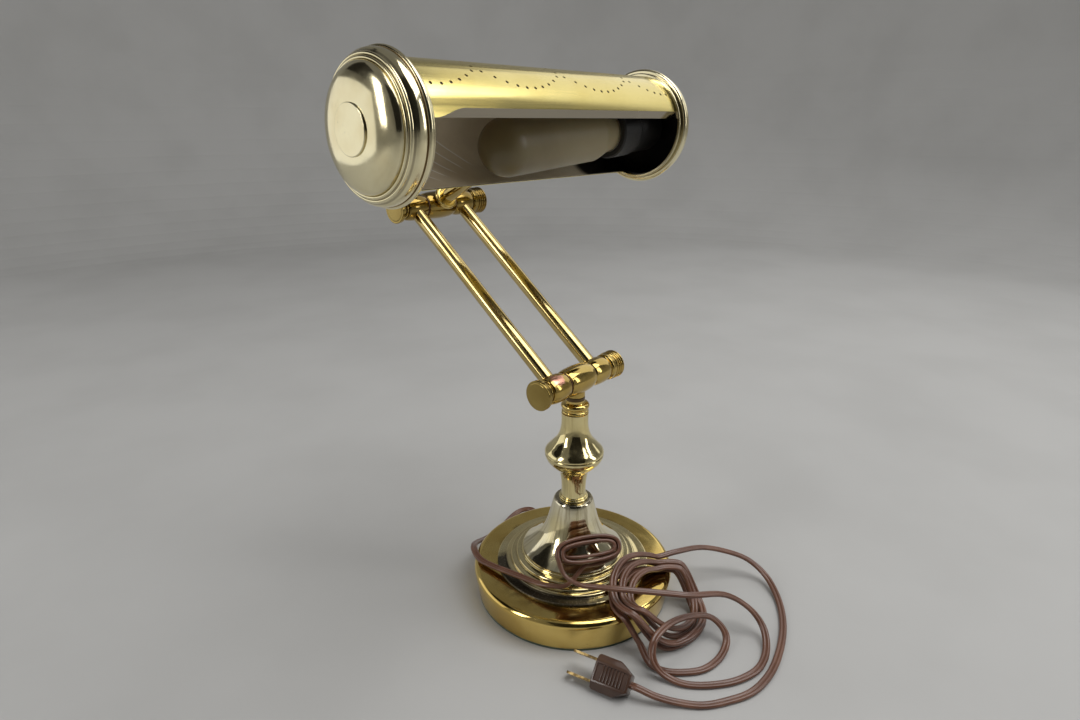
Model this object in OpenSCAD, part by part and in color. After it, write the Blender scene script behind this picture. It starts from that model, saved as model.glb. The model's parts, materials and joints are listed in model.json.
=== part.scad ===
// Brass desk lamp with a pierced tubular shade on a pair of tilting rods.
// Millimetres, +Z up. X runs along the shade, the rods lean back towards +Y.
// The origin is the centre of the base on the table.

/* [Base] */
// Radius of the drum base at its top edge
base_r = 70; // [64:0.5:80]
// Radius of the drum base where it meets the felt
base_foot_r = 67.5; // [62:0.5:78]
// Height of the drum's top above the table
base_h = 22.8; // [18:0.2:30]
// Rounding of the drum's top edge
base_edge = 4; // [2:0.5:6]
// Thickness of the spun brass sheet
sheet = 1.2; // [0.8:0.1:1.8]
// Thickness of the felt pad
felt_t = 1.5; // [1:0.1:3]
// Radius of the cast weight inside the base
weight_r = 62; // [50:1:64]
// Thickness of the cast weight
weight_t = 13; // [8:0.5:15]

/* [Pedestal] */
// Radius of the lowest step of the foot
foot_r = 53.5; // [50:0.5:58]
// Height of the stepped foot
foot_h = 9.9; // [7:0.1:14]
// Radius of the bell's lower edge
bell_r = 35; // [33:0.1:36]
// Height of the bell
bell_h = 39.7; // [37:0.1:46]
// Wall of the bell
bell_wall = 2.2; // [1.5:0.1:3]
// Height of the double ring on the bell
ring_h = 2.4; // [2:0.1:4]
// Height of the waisted spool
spool_h = 18.4; // [14:0.1:22]
// Largest radius of the vase
vase_r = 20; // [16:0.1:24]
// Height of the vase
vase_h = 42.8; // [38:0.1:48]
// Height of the cap on top of the vase
cap_h = 9.4; // [9:0.1:13]
// Radius of the threaded pipe that holds the stack together
pipe_r = 4.8; // [4.4:0.1:5.2]
// Radius of the wire way in the pipe
pipe_bore_r = 3.2; // [2.8:0.1:3.6]

/* [Knuckles] */
// Radius of the swivel stub
stub_r = 4.4; // [4:0.1:4.8]
// Thickness of the swivel washer
washer_t = 2.2; // [1.5:0.1:3]
// Height of the bar axis above the barrel's boss face
boss_drop = 11.1; // [10:0.1:13]
// Half length of the barrels
barrel_half = 12; // [10:0.1:14]
// Largest radius of the barrels
barrel_r = 9.7; // [9:0.1:11]
// Length of the collars
collar_len = 16.9; // [14:0.1:20]
// Largest radius of the collars
collar_r = 9.1; // [8.6:0.1:10]
// Thickness of the fibre washers
fibre_t = 0.6; // [0.4:0.1:1]
// Radius of the axles
axle_r = 3; // [2.5:0.1:3.5]
// Radius of the disc knobs
knob_r = 9.7; // [8:0.1:12]
// Length of the disc knobs
knob_len = 7.5; // [6:0.1:10]
// Length of the ringed end caps
tail_len = 12.5; // [10:0.1:15]

/* [Arm] */
// Distance between the two bar axes
arm_len = 165.6; // [140:0.2:200]
// Lean of the rods from the vertical
arm_lean = 52.2; // [40:0.1:60]
// Radius of the rods
rod_r = 4.8; // [4.4:0.1:5.2]
// Radius of the wire way in the rods
rod_bore_r = 3.2; // [2.6:0.1:3.6]

/* [Shade] */
// Distance from the upper bar axis to the shade's axis
stem_reach = 110.4; // [100:0.2:130]
// Rise of the stem above the horizontal
stem_rise = 28.7; // [20:0.1:40]
// Radius of the stem
stem_r = 4.8; // [4.4:0.1:5.2]
// Radius of the wire way in the stem
stem_bore_r = 3.2; // [2.6:0.1:3.6]
// Outer radius of the shade tube
tube_r = 33.3; // [32:0.1:36]
// Half length of the shade tube
tube_half = 111.5; // [100:0.5:130]
// Sheet thickness of the shade
tube_t = 0.8; // [0.6:0.05:1.2]
// Angle of the slot's front edge above the horizontal
slot_front = 9.5; // [6:0.1:12]
// Angle of the crease above the front edge
crease_at = 17.2; // [14:0.1:20]
// Angle of the slot's back edge below the horizontal
slot_back = 107; // [95:0.5:115]
// Lean of the creased lip
lip_lean = 24; // [10:1:40]
// Radius of the rolled rims on the end caps
rim_r = 38; // [36.5:0.1:40]
// Depth of the domed end caps
dome_h = 19.7; // [17:0.1:24]
// Radius of the flat button on the end caps
button_r = 12.3; // [8:0.1:16]
// Diameter of the pierced holes
hole_d = 1.9; // [1.2:0.1:2.4]
// Length of one festoon
festoon = 66; // [50:1:80]
// Holes in one festoon
festoon_holes = 10; // [6:1:12]

/* [Lamp holder] */
// Radius of the tubular bulb
bulb_r = 17; // [14:0.1:18]
// Length of the bulb outside its holder
bulb_len = 113; // [100:1:125]
// Droop of the bulb
droop = 4.2; // [2:0.1:5]
// Outer radius of the bulb holder
socket_r = 17.2; // [16.5:0.1:19]
// Length of the bulb holder
socket_len = 47; // [40:0.5:50]
// Radius of the screw base
screw_r = 13; // [12:0.1:13.2]
// Distance of the turn switch from the shade's end
switch_in = 33.5; // [30:0.5:50]
// Radius of the turn knob
turn_r = 7; // [5:0.1:9]

/* [Plug] */
// Length of the plug's body
plug_len = 22.5; // [20:0.5:28]
// Width of the plug's body
plug_w = 20.5; // [19:0.5:24]
// Width of the plug's flat panels
plug_panel = 12.6; // [11:0.2:14]
// Thickness of the plug's body
plug_t = 10; // [9:0.5:13]
// Spacing of the blades
blade_gap = 12.7; // [12:0.1:13.4]
// Length of the blades
blade_len = 16; // [14:0.5:18]

/* [Cord] */
// Width of the flat twin cord
cord_w = 4.8; // [4.4:0.1:5.2]
// Thickness of the flat twin cord
cord_t = 2.5; // [2.2:0.1:2.7]
// Loops of the small hank that leans on the bell
hank_turns = 4; // [3:1:4]
// Loops of the tangle beside the base
tangle_turns = 4; // [3:1:5]

/* [Hidden] */
$fn = 96;
// Clearance of each running or sliding fit
fit = 0.05;
// Space between faces that turn past each other
face_gap = 0.1;
// Space between the stem's saddle and the shade
saddle_gap = 0.05;

// Heights of the stack, each piece standing on the one below
foot_z = base_h;
bell_z = foot_z + foot_h;
ring_z = bell_z + bell_h;
spool_z = ring_z + ring_h;
vase_z = spool_z + spool_h;
cap_z = vase_z + vase_h;
cap_top = cap_z + cap_h;
boss_z = cap_top + washer_t + 2 * face_gap;
bar_z = boss_z + boss_drop;
pipe_top = cap_z + 3;
stub_z = pipe_top + 0.4;
stub_top = bar_z - axle_r - 2;
// Radius of the swivel's neck, above and below its washer
boss_r = stub_r + 2;

// Places along the bars
fibre_x = barrel_half + face_gap / 2;
collar_x0 = fibre_x + fibre_t + face_gap;
collar_x1 = collar_x0 + collar_len;
collar_mid = (collar_x0 + collar_x1) / 2;
end_x = collar_x1 + face_gap;
axle_left = end_x + knob_len - 2;
axle_right = end_x + tail_len - 6;

// The upper bar and the shade's axis
top_y = arm_len * sin(arm_lean);
top_z = bar_z + arm_len * cos(arm_lean);
shade_y = top_y - stem_reach * cos(stem_rise);
shade_z = top_z + stem_reach * sin(stem_rise);
// Depth of the rods' seats from the bar axes
rod_seat = axle_r + 2.6;
// Angle on the shade where the stem enters, 0 at the front and 90 at the top
stem_at = 180 + stem_rise;
tube_in = tube_r - tube_t;
// Overlap of the end caps on the tube
skirt = 3;

// The back of the lamp holder reaches a little into the right-hand end cap
holder_back = tube_half + 5.5;
switch_x = tube_half - switch_in;

// The cord leaves the base at the back, close to the table
exit_at = 60;
exit_z = 7;
relief_r = 5;
relief_tip_r = 3.4;
relief_len = 22;
relief_out = 12;
exit_r = base_r + relief_out;
// Height of a cord's middle above what it lies on
cord_rest = cord_t / 2 + 0.15;
cord_sides = 8;
loop_sides = 6;
loop_rings = 24;

// Points along a circular arc
function arc(c, r, a0, a1, n = 8) =
    [for (i = [0:n]) let (a = a0 + (a1 - a0) * i / n) c + r * [cos(a), sin(a)]];
// One smooth value between four neighbours
function blend4(a, b, c, d, t) =
    0.5 * (2 * b + (c - a) * t + (2 * a - 5 * b + 4 * c - d) * t * t
    + (3 * b - a - 3 * c + d) * t * t * t);
// A smooth line through a list of points
function smooth_line(p, n) =
    let (e = len(p) - 1)
    [for (i = [0:e - 1], k = [0:n - 1])
        blend4(i == 0 ? 2 * p[0] - p[1] : p[i - 1], p[i], p[i + 1],
            i == e - 1 ? 2 * p[e] - p[e - 1] : p[i + 2], k / n),
     p[e]];
function ease(t) = let (c = min(1, max(0, t))) c * c * (3 - 2 * c);
function unit(v) = v / norm(v);
// A list in reverse order
function back_to_front(p) = [for (i = [len(p) - 1:-1:0]) p[i]];
// A point of the shade's section: angle 0 at the front, 90 at the top
function on_shade(r, a) = [-r * cos(a), r * sin(a)];

// A turned piece standing on Z, from [radius, height] points
module turned(points) rotate_extrude() polygon(points);
// A turned piece lying along X, from [radius, x] points
module turned_x(points) rotate([0, 90, 0]) rotate_extrude() polygon(points);
// A bore or shaft along X
module shaft_x(r, x0, x1) translate([x0, 0, 0]) rotate([0, 90, 0]) cylinder(r = r, h = x1 - x0);
// Places on the lamp
module at_lower_bar() translate([0, 0, bar_z]) children();
module at_upper_bar() translate([0, top_y, top_z]) children();
module at_shade() translate([0, shade_y, shade_z]) children();
// Turns +Z to the rods' direction, and to the stem's direction
module along_arm() rotate([-arm_lean, 0, 0]) children();
module along_stem() rotate([90 - stem_rise, 0, 0]) children();
// Turns +Z outwards at an angle of the shade's section
module out_of_shade(a) rotate([90 - a, 0, 0]) children();
// A section of the shade drawn out along X
module along_shade(half)
    rotate([90, 0, 90])
        linear_extrude(height = 2 * half, center = true)
            children();

// Base

module base_shell() color("goldenrod") difference() {
    turned(concat(
        [[base_foot_r, felt_t]],
        arc([base_r - base_edge, base_h - base_edge], base_edge, 0, 90),
        [[pipe_r + fit, base_h], [pipe_r + fit, base_h - sheet]],
        arc([base_r - base_edge, base_h - base_edge], base_edge - sheet, 90, 0),
        [[base_foot_r - sheet, felt_t]]));
    rotate([0, 0, exit_at])
        translate([0, 0, exit_z])
            shaft_x(relief_r, base_r / 2, base_r + 5);
}

module felt_pad() color("darkolivegreen") cylinder(r = base_foot_r - 0.3, h = felt_t);

// The recess under the weight holds the nut, and a groove lets the cord in
nut_room_r = 14;
nut_room = 8;
module base_weight() color("dimgray") difference() {
    turned([[pipe_r + fit, felt_t + nut_room], [nut_room_r, felt_t + nut_room], [nut_room_r, felt_t],
        [weight_r - 2, felt_t], [weight_r, felt_t + 2], [weight_r, felt_t + weight_t - 2],
        [weight_r - 2, felt_t + weight_t], [foot_r / 2, felt_t + weight_t],
        [foot_r / 2 - 4, base_h - sheet], [pipe_r + fit, base_h - sheet]]);
    rotate([0, 0, exit_at])
        translate([nut_room_r - 2, -relief_r, felt_t - 1])
            cube([weight_r, 2 * relief_r, weight_t + 2]);
}

base_washer_t = 1.4;
module base_washer() color("silver")
    translate([0, 0, felt_t + nut_room - base_washer_t])
        difference() {
            cylinder(r = nut_room_r - 2, h = base_washer_t);
            translate([0, 0, -1])
                cylinder(r = pipe_r + fit, h = base_washer_t + 2);
        }

nut_t = 4;
module base_nut() color("silver")
    translate([0, 0, felt_t + nut_room - base_washer_t - nut_t])
        difference() {
            cylinder(r = pipe_r + 4.2, h = nut_t, $fn = 6);
            translate([0, 0, -1])
                cylinder(r = pipe_r + fit, h = nut_t + 2);
        }

pipe_z = felt_t + nut_room - base_washer_t - nut_t - 1;
module centre_pipe() color("peru")
    translate([0, 0, pipe_z])
        difference() {
            cylinder(r = pipe_r, h = pipe_top - pipe_z);
            translate([0, 0, -1])
                cylinder(r = pipe_bore_r, h = pipe_top - pipe_z + 2);
        }

wire_r = 2.5;
module post_wire() color("saddlebrown")
    translate([0, 0, pipe_z])
        cylinder(r = wire_r, h = pipe_top - pipe_z);

// A tapered sleeve of rubber where the cord leaves the drum
module cord_relief() color("saddlebrown")
    rotate([0, 0, exit_at])
        translate([0, 0, exit_z])
            difference() {
                turned_x([[0, exit_r - relief_len], [relief_r - fit, exit_r - relief_len],
                    [relief_r - fit, base_r + 0.5], [relief_tip_r, exit_r], [0, exit_r]]);
                shaft_x(cord_w / 2 - 0.6, exit_r - relief_len - 1, exit_r - 6);
            }

// Pedestal

// Radii of the foot's steps, and the share of its height that each reaches
foot_steps = [[0, 0.14], [6, 0.34], [9.5, 0.545], [13.5, 0.77], [17.5, 1]];
foot_round = 0.6;
function foot_step_r(i) = foot_r - foot_steps[i][0];
function foot_step_z(i) = i < 0 ? foot_z : foot_z + foot_h * foot_steps[i][1];
module stepped_foot() color("khaki")
    turned(concat(
        [[pipe_r + fit, foot_z]],
        [for (i = [0:len(foot_steps) - 1]) each [
            [foot_step_r(i), foot_step_z(i - 1)],
            [foot_step_r(i), foot_step_z(i) - foot_round],
            [foot_step_r(i) - foot_round, foot_step_z(i)]]],
        [[pipe_r + fit, foot_step_z(len(foot_steps) - 1)]]));

// Knots of the bell's flank: radius less the neck's, as a share of the bell's spread
bell_neck = 12;
bell_knots = [[1, 0.03], [0.95, 0.12], [0.78, 0.235], [0.53, 0.325], [0.31, 0.41], [0.215, 0.53],
    [0.145, 0.68], [0.08, 0.86], [0, 0.97]];
function bell_at(k, off) = [bell_neck + k[0] * (bell_r - bell_neck) - off, bell_z + k[1] * bell_h];
bell_line = smooth_line([for (k = bell_knots) bell_at(k, 0)], 4);
bell_inside = smooth_line([for (i = [0:5]) bell_at(bell_knots[i], bell_wall)], 4);
module pedestal_bell() color("khaki")
    turned(concat(
        [[bell_r - bell_wall, bell_z], [bell_r, bell_z]],
        bell_line,
        [[bell_neck - 0.8, ring_z], [pipe_r + fit, ring_z]],
        [[pipe_r + fit, bell_inside[len(bell_inside) - 1][1]]],
        back_to_front(bell_inside)));

// Two small beads, the upper one narrower
ring_r = 11.1;
module neck_ring() color("khaki")
    turned(concat(
        [[pipe_r + fit, ring_z]],
        arc([ring_r - ring_h / 4, ring_z + ring_h / 4], ring_h / 4, -90, 90),
        arc([ring_r - 1.4 - ring_h / 4, ring_z + ring_h * 3 / 4], ring_h / 4, -90, 90),
        [[pipe_r + fit, ring_z + ring_h]]));

spool_knots = [[8.6, 0], [8.3, 0.2], [8.6, 0.55], [9.2, 0.8], [10, 1]];
module waist_spool() color("khaki")
    turned(concat(
        [[pipe_r + fit, spool_z]],
        smooth_line([for (k = spool_knots) [k[0], spool_z + k[1] * spool_h]], 4),
        [[pipe_r + fit, spool_z + spool_h]]));

// The vase is a bowl below and a flared neck above, with a fine lip between them
vase_low = [[0.505, 0], [0.64, 0.06], [0.8, 0.13], [0.92, 0.2], [0.985, 0.265], [0.99, 0.305]];
vase_high = [[0.975, 0.315], [1, 0.335], [0.955, 0.385], [0.79, 0.47], [0.625, 0.56], [0.525, 0.65],
    [0.47, 0.75], [0.45, 0.85], [0.45, 1]];
function vase_line(k) = smooth_line([for (p = k) [p[0] * vase_r, vase_z + p[1] * vase_h]], 3);
module vase() color("khaki")
    turned(concat(
        [[pipe_r + fit, vase_z]],
        vase_line(vase_low),
        vase_line(vase_high),
        [[pipe_r + fit, vase_z + vase_h]]));

// A thin ring, a round one and a short neck, bored below for the pipe and above for the swivel stub
cap_bead = 1.2;
cap_bead_r = 9;
cap_ring = 2.2;
cap_ring_r = 9.45;
cap_ring_z = 5.2;
module post_cap() color("goldenrod")
    difference() {
        turned(concat(
            [[0, cap_z], [cap_bead_r - cap_bead, cap_z]],
            arc([cap_bead_r - cap_bead, cap_z + cap_bead], cap_bead, -90, 60),
            arc([cap_ring_r - cap_ring, cap_z + cap_ring_z], cap_ring, -60, 75),
            [[boss_r + 0.3, cap_z + cap_ring_z + cap_ring], [boss_r, cap_z + cap_ring_z + cap_ring + 0.4],
             [boss_r, cap_top], [0, cap_top]]));
        translate([0, 0, cap_z - 1])
            cylinder(r = pipe_r + fit, h = pipe_top - cap_z + 1);
        translate([0, 0, pipe_top - 1])
            cylinder(r = wire_r + 0.3, h = cap_h);
        translate([0, 0, stub_z - 0.1])
            cylinder(r = stub_r + fit, h = cap_h + 5);
    }

// Swivel knuckle on the post

module swivel_washer() color("black")
    translate([0, 0, cap_top])
        difference() {
            cylinder(r = boss_r, h = washer_t);
            translate([0, 0, -1])
                cylinder(r = stub_r + fit, h = washer_t + 2);
        }

module swivel_stub() color("peru")
    difference() {
        translate([0, 0, stub_z])
            cylinder(r = stub_r, h = stub_top - stub_z);
        translate([0, 0, stub_z - 1])
            cylinder(r = wire_r + 0.3, h = stub_top - stub_z + 2);
    }

// The bulged barrel of both knuckles, bored for its axle
barrel_end = 1.3;
module barrel_body() difference() {
    turned_x(concat(
        [[0, -barrel_half]],
        smooth_line([[barrel_r - barrel_end, -barrel_half], [barrel_r - 0.4, -barrel_half / 1.6],
            [barrel_r, 0], [barrel_r - 0.4, barrel_half / 1.6], [barrel_r - barrel_end, barrel_half]], 4),
        [[0, barrel_half]]));
    shaft_x(axle_r + fit, -barrel_half - 1, barrel_half + 1);
}

module lower_barrel() color("goldenrod")
    difference() {
        union() {
            at_lower_bar() barrel_body();
            translate([0, 0, boss_z])
                cylinder(r = boss_r, h = boss_drop - axle_r - 1);
        }
        translate([0, 0, boss_z - 1])
            cylinder(r = stub_r + fit, h = stub_top - boss_z + 1.1);
    }

module axle() color("peru") shaft_x(axle_r, -axle_left, axle_right);

// A ring of fibre on each side of the barrel
module fibre_rings() color("saddlebrown")
    for (x = [-fibre_x - fibre_t, fibre_x])
        difference() {
            shaft_x(barrel_r - barrel_end - 0.6, x, x + fibre_t);
            shaft_x(axle_r + fit, x - 1, x + fibre_t + 1);
        }

// A ringed cap on the right-hand end of each bar
tail_r = 9;
tail_rings = [0.42, 0.6, 0.76];
module tail_cap() color("goldenrod")
    difference() {
        turned_x(concat(
            [[0, end_x], [tail_r - 0.9, end_x], [tail_r, end_x + 1], [tail_r, end_x + tail_len * 0.3]],
            [for (k = tail_rings) each
                arc([tail_r - 0.3, end_x + tail_len * k], tail_len * 0.06, -80, 80, 6)],
            [[tail_r + 0.6, end_x + tail_len * 0.86], [tail_r + 0.6, end_x + tail_len * 0.93],
             [tail_r - 1, end_x + tail_len * 0.98], [0, end_x + tail_len]]));
        shaft_x(axle_r + fit, end_x - 1, axle_right + 0.2);
    }

// A flat disc on a narrow neck with a flange, turned to clamp the bar
knob_x = -end_x - knob_len;
knob_disc = 3.8;
knob_flange = 1.3;
module disc_knob() color("darkgoldenrod")
    difference() {
        turned_x([[0, knob_x], [knob_r - 0.6, knob_x], [knob_r, knob_x + 0.6],
            [knob_r - 0.1, knob_x + knob_disc - 0.8], [knob_r - 1.2, knob_x + knob_disc],
            [axle_r + 2, knob_x + knob_disc + 0.4], [axle_r + 1.7, -end_x - knob_flange - 0.5],
            [axle_r + 4, -end_x - knob_flange], [axle_r + 4, -end_x - 0.3], [axle_r + 3.7, -end_x],
            [0, -end_x]]);
        shaft_x(axle_r + fit, -axle_left - 0.3, -end_x + 1);
    }

// Arm

// A rounded collar on an axle, with the seat of one rod
module collar_body(side) difference() {
    translate([side * collar_mid, 0, 0])
        turned_x(concat(
            [[0, -collar_len / 2], [collar_r - 1.7, -collar_len / 2]],
            smooth_line([[collar_r - 0.9, -collar_len / 2 + 0.8], [collar_r - 0.2, -collar_len / 4],
                [collar_r, 0], [collar_r - 0.2, collar_len / 4], [collar_r - 0.9, collar_len / 2 - 0.8]], 4),
            [[collar_r - 1.7, collar_len / 2], [0, collar_len / 2]]));
    shaft_x(axle_r + fit, side * collar_mid - collar_len, side * collar_mid + collar_len);
    translate([side * collar_mid, 0, 0])
        along_arm()
            translate([0, 0, rod_seat - 0.1])
                cylinder(r = rod_r + fit, h = collar_r * 2);
}

module lower_collar(side) color("goldenrod") at_lower_bar() collar_body(side);
// The upper collars face down the rods
module upper_collar(side) color("goldenrod")
    at_upper_bar()
        rotate([180, 0, 0])
            collar_body(side);

module rod(side) color("goldenrod")
    at_lower_bar()
        translate([side * collar_mid, 0, 0])
            along_arm()
                difference() {
                    translate([0, 0, rod_seat])
                        cylinder(r = rod_r, h = arm_len - 2 * rod_seat);
                    cylinder(r = rod_bore_r, h = arm_len);
                }

module rod_wire() color("saddlebrown")
    at_lower_bar()
        translate([collar_mid, 0, 0])
            along_arm()
                translate([0, 0, rod_seat])
                    cylinder(r = wire_r, h = arm_len - 2 * rod_seat);

// Shade

stem_seat = axle_r + 2;
stem_end = stem_reach - tube_in + 7;
module upper_barrel() color("goldenrod")
    at_upper_bar()
        difference() {
            barrel_body();
            along_stem()
                translate([0, 0, stem_seat - 0.1])
                    cylinder(r = stem_r + fit, h = barrel_r * 2);
        }

module shade_stem() color("goldenrod")
    at_upper_bar()
        along_stem()
            difference() {
                translate([0, 0, stem_seat])
                    cylinder(r = stem_r, h = stem_end - stem_seat);
                cylinder(r = stem_bore_r, h = stem_end + 1);
            }

module stem_wire() color("saddlebrown")
    at_upper_bar()
        along_stem()
            translate([0, 0, stem_seat])
                cylinder(r = wire_r, h = stem_end - stem_seat);

// A turned ring on the stem, just off the barrel
stem_ring_t = 4;
module stem_ring() color("goldenrod")
    at_upper_bar()
        along_stem()
            translate([0, 0, barrel_r + 0.3])
                turned(concat(
                    [[stem_r + fit, 0]],
                    arc([stem_r + 1.6, stem_ring_t / 2], stem_ring_t / 2, -90, 90),
                    [[stem_r + fit, stem_ring_t]]));

// A flange shaped to the tube, under the shade
flange_r = 10;
flange_t = 4.5;
module stem_flange() color("goldenrod")
    difference() {
        at_upper_bar()
            along_stem()
                translate([0, 0, stem_reach - tube_r - flange_t])
                    turned([[stem_r + fit, 0], [flange_r - 2.5, 0], [flange_r, 2.5],
                        [flange_r, flange_t + 2], [stem_r + fit, flange_t + 2]]);
        at_shade()
            shaft_x(tube_r + saddle_gap, -2 * flange_r, 2 * flange_r);
    }

stem_nut_r = 8;
stem_nut_t = 3.5;
// The nut's corners rest on the inside of the tube
stem_nut_at = sqrt(tube_in * tube_in - stem_nut_r * stem_nut_r) - 0.1;
module stem_nut() color("silver")
    at_upper_bar()
        along_stem()
            translate([0, 0, stem_reach - stem_nut_at])
                difference() {
                    cylinder(r = stem_nut_r, h = stem_nut_t, $fn = 6);
                    translate([0, 0, -1])
                        cylinder(r = stem_r + fit, h = stem_nut_t + 2);
                }

// Pierced festoons hang from points that a short row of holes joins over the top
festoon_low = 38;
festoon_high = 60;
pierce_end = tube_half - 8;
festoon_tops = [-1, 0, 1];
tie_angles = [64, 77, 90];
function festoon_angle(t) = festoon_low + (festoon_high - festoon_low) * pow(2 * t - 1, 2);
festoon_points = [for (k = [-2:1], j = [0:festoon_holes - 1])
    let (t = (j + 0.5) / festoon_holes, x = (k + t) * festoon)
    if (abs(x) < pierce_end) [x, festoon_angle(t)]];
tie_points = [for (k = festoon_tops, a = tie_angles) [k * festoon, a]];
module pierced_holes()
    for (p = concat(festoon_points, tie_points), a = p[1] == 90 ? [90] : [p[1], 180 - p[1]])
        out_of_shade(a)
            translate([p[0], 0, tube_r - 3])
                cylinder(d = hole_d, h = 6);

// The crease of the lip runs out to the front edge in an ogee at the left end, and to the cap at the right
ogee_x0 = tube_half - 25;
ogee_x1 = tube_half - 6;
lip_end = tube_half - skirt - 0.5;
lip_z0 = tube_r * sin(slot_front);
lip_z1 = tube_r * sin(crease_at);
lip_window = concat(
    [[-ogee_x1, lip_z0 - 3], [lip_end, lip_z0 - 3], [lip_end, lip_z1]],
    [for (i = [0:8])
        [-ogee_x0 + (ogee_x0 - ogee_x1) * i / 8, lip_z1 + (lip_z0 - lip_z1) * ease(i / 8)]]);
lip_slope = [sin(lip_lean), -cos(lip_lean)];
lip_len = (lip_z1 - lip_z0) / cos(lip_lean) + 0.4;
lip_top = on_shade(tube_r - 0.35, crease_at) - 0.4 * lip_slope;
lip_back = [-tube_t, 0];
slot_wedge = concat([[0, 0]], [for (i = [0:8])
    on_shade(2 * tube_r, -slot_back + (slot_front + slot_back) * i / 8)]);

switch_bush_r = 3.4;
screw_hole_r = 1.6;
module shade_tube() color("gold")
    at_shade()
        difference() {
            union() {
                difference() {
                    along_shade(tube_half)
                        difference() {
                            circle(tube_r);
                            circle(tube_in);
                            polygon(slot_wedge);
                        }
                    rotate([90, 0, 0])
                        linear_extrude(height = 2 * tube_r)
                            polygon(lip_window);
                }
                translate([(lip_end - ogee_x1) / 2, 0, 0])
                    along_shade((lip_end + ogee_x1) / 2)
                        polygon([lip_top, lip_top + lip_len * lip_slope,
                            lip_top + lip_len * lip_slope - lip_back, lip_top - lip_back]);
            }
            pierced_holes();
            out_of_shade(stem_at)
                cylinder(r = stem_r + fit, h = 2 * tube_r);
            out_of_shade(180)
                translate([switch_x, 0, 0])
                    cylinder(r = switch_bush_r + fit, h = 2 * tube_r);
            out_of_shade(180)
                translate([strap_x, 0, 0])
                    cylinder(r = screw_hole_r + fit, h = 2 * tube_r);
        }

// Spun end cap: skirt, rolled rim, band, two beads and a bun with a full round shoulder
cap_sheet = 0.9;
dome_r = rim_r - 11.1;
dome_round = 7.6;
dome_crown = 0.5;
dome_flat = dome_r - dome_round;
dome_foot = dome_h - dome_crown - dome_round;
function dome_at(r, drop) = dome_h - drop - dome_crown * pow(r / dome_flat, 2);
function dome_line(drop) = concat(
    arc([dome_flat, dome_foot], dome_round - drop, 0, 85, 10),
    [for (i = [0:3]) let (r = dome_flat * (0.9 - 0.3 * i)) [r, dome_at(r, drop)]]);
rim_bead = 1.5;
band_bead = 1.05;
skirt_r = tube_r + 2 * fit;
module end_cap_body()
    turned_x(concat(
        [[skirt_r, -skirt], [skirt_r + 1.5, -skirt], [skirt_r + 1.9, -skirt + 0.8], [skirt_r + 1.5, -0.4],
         [skirt_r + 1.6, 0]],
        arc([rim_r - rim_bead, rim_bead], rim_bead, -90, 90),
        [[rim_r - 1.7, 2 * rim_bead + 0.2], [rim_r - 1.2, 2 * rim_bead + 0.9], [rim_r - 1.4, 6],
         [rim_r - 2.2, 8], [rim_r - 3.5, 9.5]],
        arc([rim_r - 5.6, dome_foot - 1.7], band_bead, -10, 130, 5),
        arc([rim_r - 8.5, dome_foot - 0.8], band_bead, -10, 150, 5),
        dome_line(0),
        back_to_front(dome_line(cap_sheet)),
        [[dome_r - 0.8, dome_foot - 1.4], [skirt_r - 1.9, dome_foot - 2.7], [skirt_r - 0.4, dome_foot - 3.6],
         [skirt_r - 0.4, 2.5], [skirt_r - 1, 1], [skirt_r, 1]]));
cap_at = tube_half - 0.9;
module end_cap(side) color("khaki")
    at_shade()
        mirror([side < 0 ? 1 : 0, 0, 0])
            translate([cap_at, 0, 0])
                end_cap_body();

// A flat disc seated on the dome
button_rise = 0.6;
module cap_button(side) color("khaki")
    at_shade()
        mirror([side < 0 ? 1 : 0, 0, 0])
            translate([cap_at, 0, 0])
                turned_x(concat(
                    [for (i = [0:6]) let (r = button_r * i / 6) [r, dome_at(r, 0) + saddle_gap]],
                    [[button_r, dome_h + button_rise - 0.4], [button_r - 0.5, dome_h + button_rise],
                     [0, dome_h + button_rise]]));

// Lamp holder

// The holder and bulb share one drooping axis through the strap; x runs from the mouth to the right
module on_droop()
    translate([holder_back, 0, 0])
        rotate([0, -droop, 0])
            translate([-socket_len, 0, 0])
                children();
module at_socket() at_shade() on_droop() children();

// Length of the bulb's screw base, and the depth of the holder's cup
screw_len = 23;
cup_depth = screw_len + 0.3;
module lamp_socket() color("black")
    at_socket()
        turned_x([[screw_r + 0.3, 0], [socket_r - 1, 0], [socket_r, 1], [socket_r, socket_len * 0.4],
            [socket_r - 1, socket_len * 0.45], [socket_r - 1, socket_len - 1], [socket_r - 2, socket_len],
            [0, socket_len], [0, cup_depth], [screw_r + 0.3, cup_depth]]);

// Thread rings on the screw base, and its contact
thread_rings = 4;
thread_pitch = 3.6;
module bulb_base() color("silver")
    at_socket()
        turned_x(concat(
            [[0, 0.4], [screw_r, 0.4], [screw_r, 2]],
            [for (i = [0:thread_rings - 1]) each [
                [screw_r - 0.9, 2 + thread_pitch * (i + 0.5)], [screw_r - 0.1, 2 + thread_pitch * (i + 1)]]],
            [[screw_r - 3, screw_len - 4], [4.5, screw_len - 1.5], [4.5, screw_len], [0, screw_len]]));

glass_t = 0.8;
bulb_neck = 12.5;
shoulder = 20;
function bulb_line(d) = concat(
    smooth_line([[bulb_neck - d, 0], [bulb_neck + 0.5 - d, -5], [bulb_r - 1 - d, -shoulder + 4],
        [bulb_r - d, -shoulder]], 4),
    [for (a = [0:10:90]) [(bulb_r - d) * cos(a), -bulb_len + bulb_r - (bulb_r - d) * sin(a)]]);
module bulb_glass() color("whitesmoke")
    at_socket()
        turned_x(concat(bulb_line(0), back_to_front(bulb_line(glass_t))));

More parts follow.
